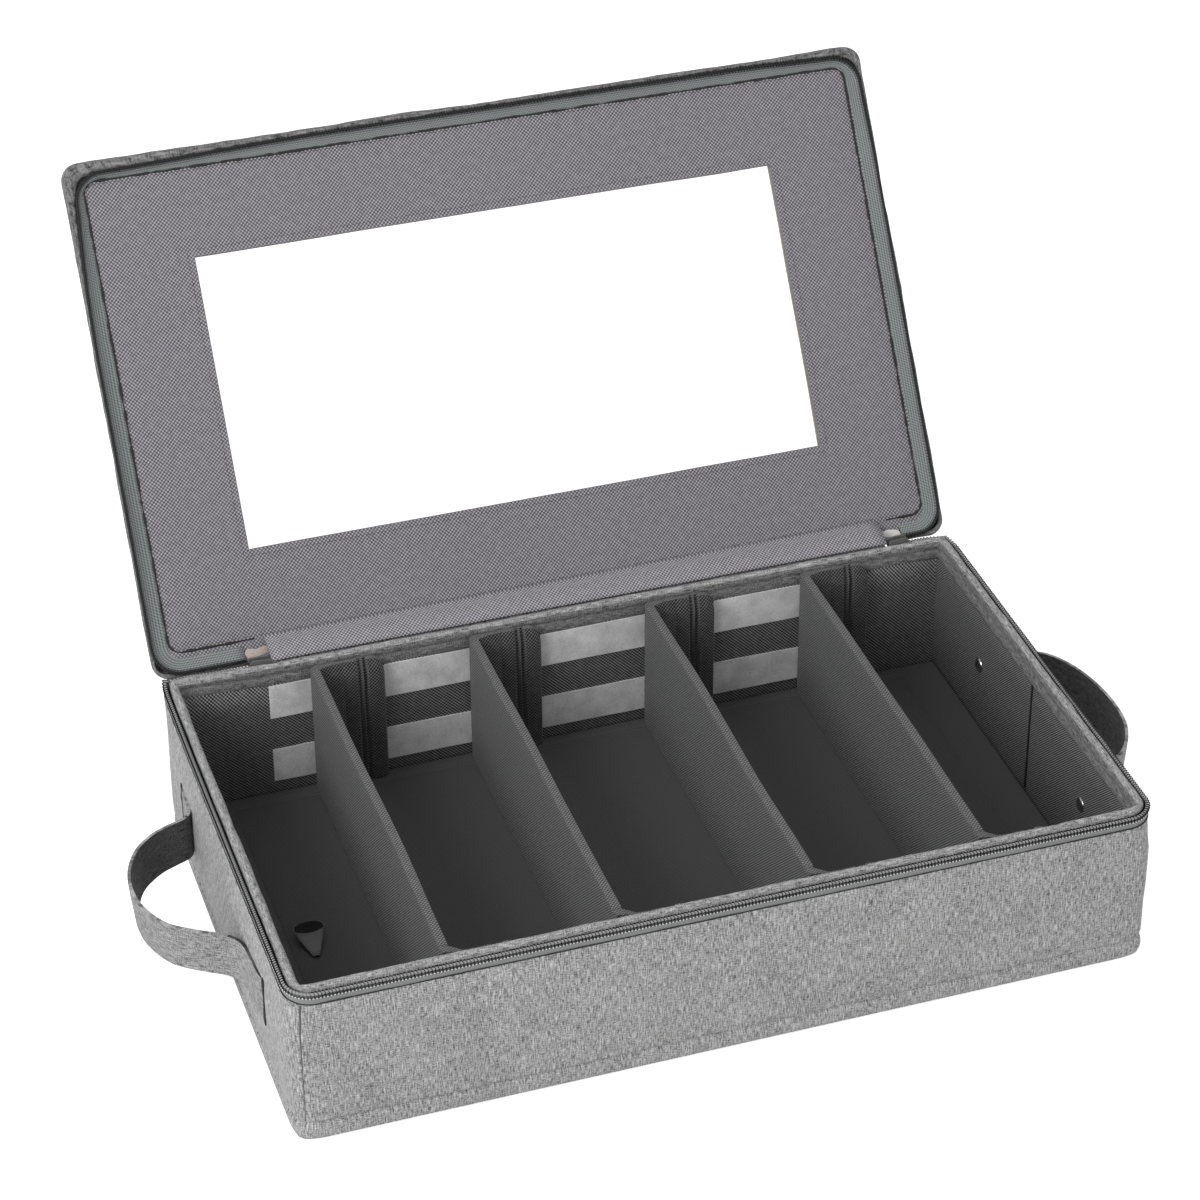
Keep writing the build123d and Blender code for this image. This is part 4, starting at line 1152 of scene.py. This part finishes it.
# %% Lid lining
lid_lining = window_panel((385.6, 232.4, 1.0), (0.8, 3.0, 87.5), 4, 0.45, 4, 3)
soften(lid_lining, 0.3, 35, 25.0, lambda co: abs(co.x) > WINDOW_X + 1 or abs(co.y) > WINDOW_Y + 1)
box_chart(lid_lining)
open_lid(lid_lining)
made = piece("lid_lining_cloth", lid_lining, pale_lining, "lid", ["lid_lining"], sharp=50)

# %% Rows of stitches on the lid lining
DASH_PITCH, DASH_LEVEL = 2.7, 86.95
dash = thread_bead("dash", (0.85, 0.22, 0.16))
for name, outline in (
    ("window_stitches", (WINDOW_X + 3.3, WINDOW_Y + 3.3, 1.5)),
    ("lining_edge_stitches", (HALF_X - 9.0, HALF_Y - 9.6, 4.0)),
):
    dashes = scatter(dash, stations(outline, 0, 0, DASH_PITCH), DASH_LEVEL)
    open_lid(dashes)
    piece(name, dashes, grey_thread_and_painted_shade, "lid", (), check_normals=False)

# %% [markdown]
# ## Lid half of the zip
# The lid's tape slopes from the coil up and inwards to the seam on the lining, so its broad face shows all
# the way round the open lid.

# %% Lid zip tape
lid_tape_section = [
    (1.3, 83.6), (1.9, 84.3), (3.2, 85.2), (5.0, 86.2), (7.2, 87.0), (9.0, 87.7), (9.0, 88.1),
    (7.0, 87.9), (4.6, 87.0), (2.6, 85.8), (1.3, 84.8), (0.7, 83.9),
]
lid_tape = sweep(lid_tape_section, LID_ZIP, ZIP_LEFT, ZIP_RIGHT, step=5.0, bends=9)
for vert in lid_tape.verts:
    vert.co += drawn_in(vert.co) * (1 - ramp(inset_of(vert.co, LID_ZIP), 3.5, 8.0))
soften(lid_tape, 0.35, 14, 31.0)
hang_open(lid_tape)
piece("lid_tape", lid_tape, lid_tape_cloth, "lid", ["lid_zip_tape"])

# %% Lid coil and its cord
lid_spots = stations(inside(LID_ZIP, 0.9), ZIP_LEFT, ZIP_RIGHT, COIL_PITCH)
lid_coil = scatter(coil_loop, lid_spots, LID_COIL_LEVEL, -LOOP_LEAN, drawn_in)
hang_open(lid_coil)
piece("lid_coil", lid_coil, coil_nylon, "lid", ["lid_zip_coil"], check_normals=False)
cord_section = [
    (0.3, 82.75), (0.05, 83.25), (0.3, 83.75), (1.2, 83.75), (1.45, 83.25), (1.2, 82.75), (0.75, 82.65),
]
cord = sweep(cord_section, LID_ZIP, ZIP_LEFT, ZIP_RIGHT, step=8.0, bends=9)
for vert in cord.verts:
    vert.co += drawn_in(vert.co)
hang_open(cord)
piece("lid_coil_cord", cord, dark_thread_and_painted_shade, "lid", ())

# %% Lid stitches and the seam of its tape
row = stations(inside(LID_ZIP, 2.35), ZIP_LEFT - 0.6, ZIP_RIGHT - 0.6, COIL_PITCH)
lid_stitches = scatter(stitch, row, 84.45, 0.0, drawn_in)
hang_open(lid_stitches)
piece("lid_coil_stitches", lid_stitches, pale_thread_and_painted_highlight, "lid", (), check_normals=False)
# a dark cord along the lining's edge: the seam's thread and painted shade
seam_section = [(7.7, 86.9), (8.0, 86.65), (8.4, 86.65), (8.7, 86.95), (8.2, 87.3)]
lid_seam = sweep(seam_section, LID_ZIP, ZIP_LEFT + 6, ZIP_RIGHT - 6, step=2.5, bends=9)
soften(lid_seam, 0.55, 2.6, 33.0)
open_lid(lid_seam)
piece("lid_tape_seam", lid_seam, dark_thread_and_painted_shade, "lid", ())

# %% [markdown]
# ## Zip end tabs
# The ends of the lid's tape are closed by small folded tabs: the left one is a bare, frayed end of tape,
# the right one is a snip of white felt.

# %% Zip end tabs
for name, middle, material in (("left", -150.8, raw_edge), ("right", 171.8, felt)):
    tab = slab((11.8, 5.4, 0.9), (middle, 119.6, 86.0), 2.2, 0.3, 4, 2)
    cut(tab, 0, (middle - 3, middle, middle + 3))
    for vert in tab.verts:
        bow = ramp(-math.copysign(vert.co.x - middle, -middle), -5.9, 5.9)
        vert.co.y += 1.6 * bow
        vert.co.z -= 0.5 * bow
    soften(tab, 0.5, 5, middle)
    box_chart(tab)
    open_lid(tab)
    piece(f"{name}_tape_end", tab, material, "lid", [f"{name}_zip_end_tab"])

# %% [markdown]
# ## Hinge cloth
# Between the two zip ends the lining and the cover run straight from the case into the lid. Each is a
# narrow strip drawn as a curve across the gap and swept along the hinge. It belongs to both bodies, so it
# is blended: one edge follows the case, the other the lid.

# %% A strip across the hinge
def lid_point(y, z):
    """Side view: a point of the shut lid, moved to the open lid."""
    turned = LID_TURN @ (Vector((0, y, z)) - HINGE) + HINGE
    return turned.y, turned.z


def hinge_sheet(points, thickness):
    """A strip along the hinge whose side view runs through the points."""
    bm = bmesh.new()
    rise = bm.verts.layers.float.new("rise")
    edges = first_row(bm, [(HINGE_LEFT, y, z) for y, z in points], rise)
    length = HINGE_RIGHT - HINGE_LEFT
    count = round(length / 6.0)
    for _ in range(count):
        fresh, edges = step_on(bm, edges)
        bmesh.ops.translate(bm, verts=fresh, vec=(length / count, 0, 0))
    chart_from(bm, lambda vert: (vert[rise], vert.co.x))
    soften(bm, 0.35, 14, 41.0)
    bmesh.ops.recalc_face_normals(bm, faces=bm.faces)
    bmesh.ops.solidify(bm, geom=bm.faces[:], thickness=thickness)
    return bm


def part_way(start, end, share, lift_y, lift_z):
    """A side-view point between two others, moved a little."""
    return start[0] + (end[0] - start[0]) * share + lift_y, start[1] + (end[1] - start[1]) * share + lift_z


def in_frame(point):
    """A side-view point as a place on the hinge, in metres."""
    return (0, point[0] * MM, point[1] * MM)


# %% Hinge lining
rim_edge = (119.8, 82.3)
lid_edge = lid_point(112.6, 86.7)
inner_line = [
    rim_edge,
    (rim_edge[0] + 1.8, rim_edge[1] + 1.3),
    part_way(rim_edge, lid_edge, 1 / 3, 0, 0.7),
    part_way(rim_edge, lid_edge, 2 / 3, 0, 0.5),
    (lid_edge[0] - 1.8, lid_edge[1] - 1.5),
    lid_edge,
]
hinge_in = hinge_sheet(inner_line, 0.8)
made = piece("hinge_lining_cloth", hinge_in, hinge_lining, None, ["hinge_lining"])
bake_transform(made, "case", "lid", start=in_frame(rim_edge), end=in_frame(lid_edge))

# %% Hinge cover
outer_start = (120.6, 79.5)
outer_end = lid_point(121.8, 86.0)
outer_line = [outer_start, (122.0, 80.6), part_way(outer_start, outer_end, 0.5, 0.6, -0.2), outer_end]
hinge_out = hinge_sheet(outer_line, 0.9)
made = piece("hinge_cover_cloth", hinge_out, linen, None, ["hinge_cover"])
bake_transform(made, "case", "lid", start=in_frame(outer_start), end=in_frame(outer_end))

# %% [markdown]
# ## Carrying straps
# A strap comes out of a slit in the end wall, lies flat on it, leaves it in a low arch and goes back
# through a second slit. It is a flat woven strap, so it is extruded directly, without simulation: a tall
# thin section steps along a smoothed line in plan. The ends stay on the case and the arch moves with the
# strap's own body, so the piece is blended between them.

# %% The strap's line and height
def smooth_line(points):
    """Corner cutting: each of three passes replaces every corner by two points."""
    for _ in range(3):
        trimmed = [points[0]]
        for before, after in zip(points, points[1:]):
            for share in (0.25, 0.75):
                trimmed.append(tuple(a * (1 - share) + b * share for a, b in zip(before, after)))
        points = trimmed + [points[-1]]
    return points


def strap_height(side, y):
    """The height of the strap's middle: the left one runs a little uphill to the front."""
    return 42.7 - 0.042 * y if side < 0 else STRAP_HEIGHT


# %% One strap
STRAP_DROOP = math.radians(5.0)
STRAP_WIDTHS = (-11.6, -11.2, -9.6, -4, 4, 9.6, 11.2, 11.6)


def strap(side, plan):
    """A strap extruded along plan points (distance from the wall, y)."""
    line = smooth_line(plan)
    bm = bmesh.new()
    run = bm.verts.layers.float.new("run")
    up = bm.verts.layers.float.new("up")

    def place(verts, reach, y, travelled):
        out = max(0.0, reach)
        lean = STRAP_DROOP * min(1.0, out / 12)
        middle = strap_height(side, y) - math.tan(STRAP_DROOP) * out
        for vert in verts:
            x = side * (HALF_X + reach + math.sin(lean) * vert[up])
            vert.co = Vector((x, y, middle + math.cos(lean) * vert[up]))
            vert[run] = travelled

    first = [bm.verts.new() for _ in STRAP_WIDTHS]
    for vert, height in zip(first, STRAP_WIDTHS):
        vert[up] = height
    edges = [bm.edges.new(pair) for pair in zip(first, first[1:])]
    place(first, *line[0], 0.0)
    travelled = 0.0
    for before, after in zip(line, line[1:]):
        travelled += math.dist(before, after)
        fresh, edges = step_on(bm, edges)
        place(fresh, *after, travelled)
    chart_from(bm, lambda vert: (vert[up], vert[run]))
    bmesh.ops.recalc_face_normals(bm, faces=bm.faces)
    soften(bm, 0.3, 12, side * 51.0)
    bmesh.ops.solidify(bm, geom=bm.faces[:], thickness=1.5)
    swell(bm)
    return bm


# %% Carrying straps
left_plan = [
    (-1.4, 79.5), (0.2, 78.5), (1.2, 75), (1.4, 66), (1.6, 58), (4, 54), (12, 52), (22, 48), (32, 38),
    (37.5, 20), (38, 6), (34.5, -10), (28, -22), (17, -32), (6, -40), (1.9, -48), (1.4, -60), (1.2, -70),
    (0.4, -76), (-1.4, -77.2),
]
right_plan = [
    (-1.4, 79.5), (0.2, 78.5), (1.2, 75), (1.4, 64), (1.6, 58), (4, 54), (12, 50), (22, 45), (31, 30),
    (35, 8), (35, -8), (31, -26), (22, -40), (10, -48), (3, -52), (1.6, -60), (1.2, -70), (0.4, -76),
    (-1.4, -77.2),
]
# each strap's faces that look into the loop get the darker copy of its linen: painted shade
for side_name, side, plan in (("left", -1, left_plan), ("right", 1, right_plan)):
    stands_for = [f"{side_name}_strap_{part}" for part in ("loop", "roots", "tails")]
    bm = strap(side, plan)
    made = piece(f"{side_name}_strap_cloth", bm, strap_linen, None, stands_for, sharp=60)

    def faces_wall(face, wall_x=side * HALF_X * MM):
        """Whether a face looks into the loop."""
        return face.normal.x * (face.center.x - wall_x) + 0.5 * face.normal.y * face.center.y <= 0

    second_cloth(made, strap_painted_shade, faces_wall)
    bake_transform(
        made, "case", f"{side_name}_strap",
        start=(side * 0.2025, 0, STRAP_HEIGHT * MM), end=(side * 0.214, 0, STRAP_HEIGHT * MM),
    )

# %% Slits that the straps come out of
# each slit is a thin dark slab on the cover: painted shadow in the slit's mouth
for side_name, side in (("left", -1), ("right", 1)):
    for end_name, y in (("front", -77.6), ("rear", 78.6)):
        slit = slab((0.8, 2.3, 25.5), (side * 200.3, y, strap_height(side, y)), 0.3, 0, 2)
        cut(slit, 2, range(32, 60, 4))
        soften(slit, 0.5, 7, y)
        swell(slit)
        piece(f"{side_name}_{end_name}_slit", slit, hook_tape_and_painted_shade, "case", ())

# %% [markdown]
# ## Rivets
# Each end of a strap is held by one rivet. Inside the case it shows as a domed cap, a short curve spun
# about the rivet's axis, and its shank goes through the wall.

# %% Rivet caps
RIVET_Y = 59.5
RIVET = [
    (0.0, 1.75), (1.4, 1.6), (2.7, 1.2), (3.6, 0.6), (3.95, 0.15), (4.0, 0.0), (3.4, 0.0), (1.5, 0.0),
    (1.5, -4.9), (0.0, -4.9),
]


def rivet(side, y):
    """A cap and shank at one end of a strap, from (radius, height) points."""
    bm = bmesh.new()
    verts = [bm.verts.new((radius, 0, height)) for radius, height in RIVET]
    line = [bm.edges.new(pair) for pair in zip(verts, verts[1:])]
    bmesh.ops.spin(
        bm, geom=verts + line, cent=(0, 0, 0), axis=(0, 0, 1), angle=2 * math.pi, steps=28,
        use_merge=True, use_duplicate=False,
    )
    bmesh.ops.remove_doubles(bm, verts=bm.verts, dist=0.001)
    bmesh.ops.rotate(bm, verts=bm.verts, matrix=Matrix.Rotation(-side * math.pi / 2, 3, "Y"))
    bmesh.ops.translate(bm, verts=bm.verts, vec=(side * (HALF_X - WALL), y, STRAP_HEIGHT))
    return bm


for side_name, side in (("left", -1), ("right", 1)):
    pair = rivet(side, -RIVET_Y)
    take_in(pair, rivet(side, RIVET_Y))
    piece(f"{side_name}_rivet_caps", pair, rivet_metal, "case", [f"{side_name}_rivets"])

# %% [markdown]
# ## Pieces that stay as the CAD made them
# Boards, sliders, pulls, washers, the film and the hook strips already have the right shape. They only need
# their finishes, which go into their material slots.

# %% Finishes for the CAD pieces
FINISHES = {
    "board": greyboard, "stiffener": greyboard, "core": greyboard, "floor_lining": hidden_cloth,
    "zip_slider": zip_metal, "zip_pull": zip_metal, "washers": rivet_metal, "hook_strips": hook_tape_and_painted_shade,
    "lid_window": film,
}
for name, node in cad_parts.items():
    if node.hide_render:
        continue
    match = [finish for key, finish in FINISHES.items() if key in name]
    if not match:
        print("no finish for", name)
        continue
    node.data.materials.clear()
    node.data.materials.append(match[0])

# %% [markdown]
# ## Floor, light and camera
# A plain pale floor shows white to the camera and in gloss, and still keeps the case's shadow: what the eye
# sees is the lit floor plus a little glow of its own. The key lamp stands high on the left, a weak fill on
# the right, and the world gives the rest, at a level where a colour renders about as it is written.

# %% Floor
bm = bmesh.new()
bmesh.ops.create_grid(bm, x_segments=1, y_segments=1, size=6000)
floor, tree, lit = new_material(
    "pale floor", Base_Color=screen(240), Roughness=0.9, Specular_IOR_Level=0.1
)
glow = add(tree, "ShaderNodeEmission", Color=(1, 1, 1, 1), Strength=0.68)
both = tree.nodes.new("ShaderNodeAddShader")
tree.links.new(lit.outputs[0], both.inputs[0])
tree.links.new(glow.outputs[0], both.inputs[1])
path = add(tree, "ShaderNodeLightPath")
seen = maths(tree, "MAXIMUM", path.outputs["Is Camera Ray"], path.outputs["Is Glossy Ray"])
seen = maths(tree, "MAXIMUM", seen, path.outputs["Is Transmission Ray"])
choose = add(tree, "ShaderNodeMixShader")
tree.links.new(seen, choose.inputs[0])
tree.links.new(lit.outputs[0], choose.inputs[1])
tree.links.new(both.outputs[0], choose.inputs[2])
tree.links.new(choose.outputs[0], tree.nodes["Material Output"].inputs["Surface"])
stage = piece("floor", bm, floor, None)
stage.location.z = -0.0002

# %% World and lamps
world = bpy.data.worlds.new("studio")
bpy.context.scene.world = world
world.use_nodes = True
sky = world.node_tree.nodes["Background"]
sky.inputs["Color"].default_value = (1, 1, 1, 1)
sky.inputs["Strength"].default_value = 0.5


def lamp(name, place, size, power):
    """A square area lamp that looks at the case."""
    data = bpy.data.lights.new(name, "AREA")
    data.size, data.energy = size, power
    made = bpy.data.objects.new(name, data)
    made.location = place
    made.rotation_mode = "QUATERNION"
    made.rotation_quaternion = (Vector((0, 0, 0.05)) - Vector(place)).to_track_quat("-Z", "Y")
    bpy.context.scene.collection.objects.link(made)


lamp("key", (-1.6, -0.85, 1.5), 1.2, 25)
lamp("fill", (1.6, -1.4, 1.2), 1.6, 5)

# %% Camera
azimuth, elevation, roll = -0.3168465, 0.5952583, -0.0060182
level = math.cos(elevation)
back = Vector((math.sin(azimuth) * level, -math.cos(azimuth) * level, math.sin(elevation)))
right = Vector((math.cos(azimuth), math.sin(azimuth), 0))
up = back.cross(right)
camera = bpy.data.objects.new("camera", bpy.data.cameras.new("camera"))
camera.data.lens, camera.data.sensor_width = 110.158, 36.0
camera.rotation_mode = "QUATERNION"
turned = Matrix((right, up, back)).transposed() @ Matrix.Rotation(roll, 3, "Z")
camera.rotation_quaternion = turned.to_quaternion()
camera.location = (-0.4418319, -1.2804479, 1.0795334)
bpy.context.scene.collection.objects.link(camera)
bpy.context.scene.camera = camera
bpy.context.scene.view_settings.view_transform = "Standard"
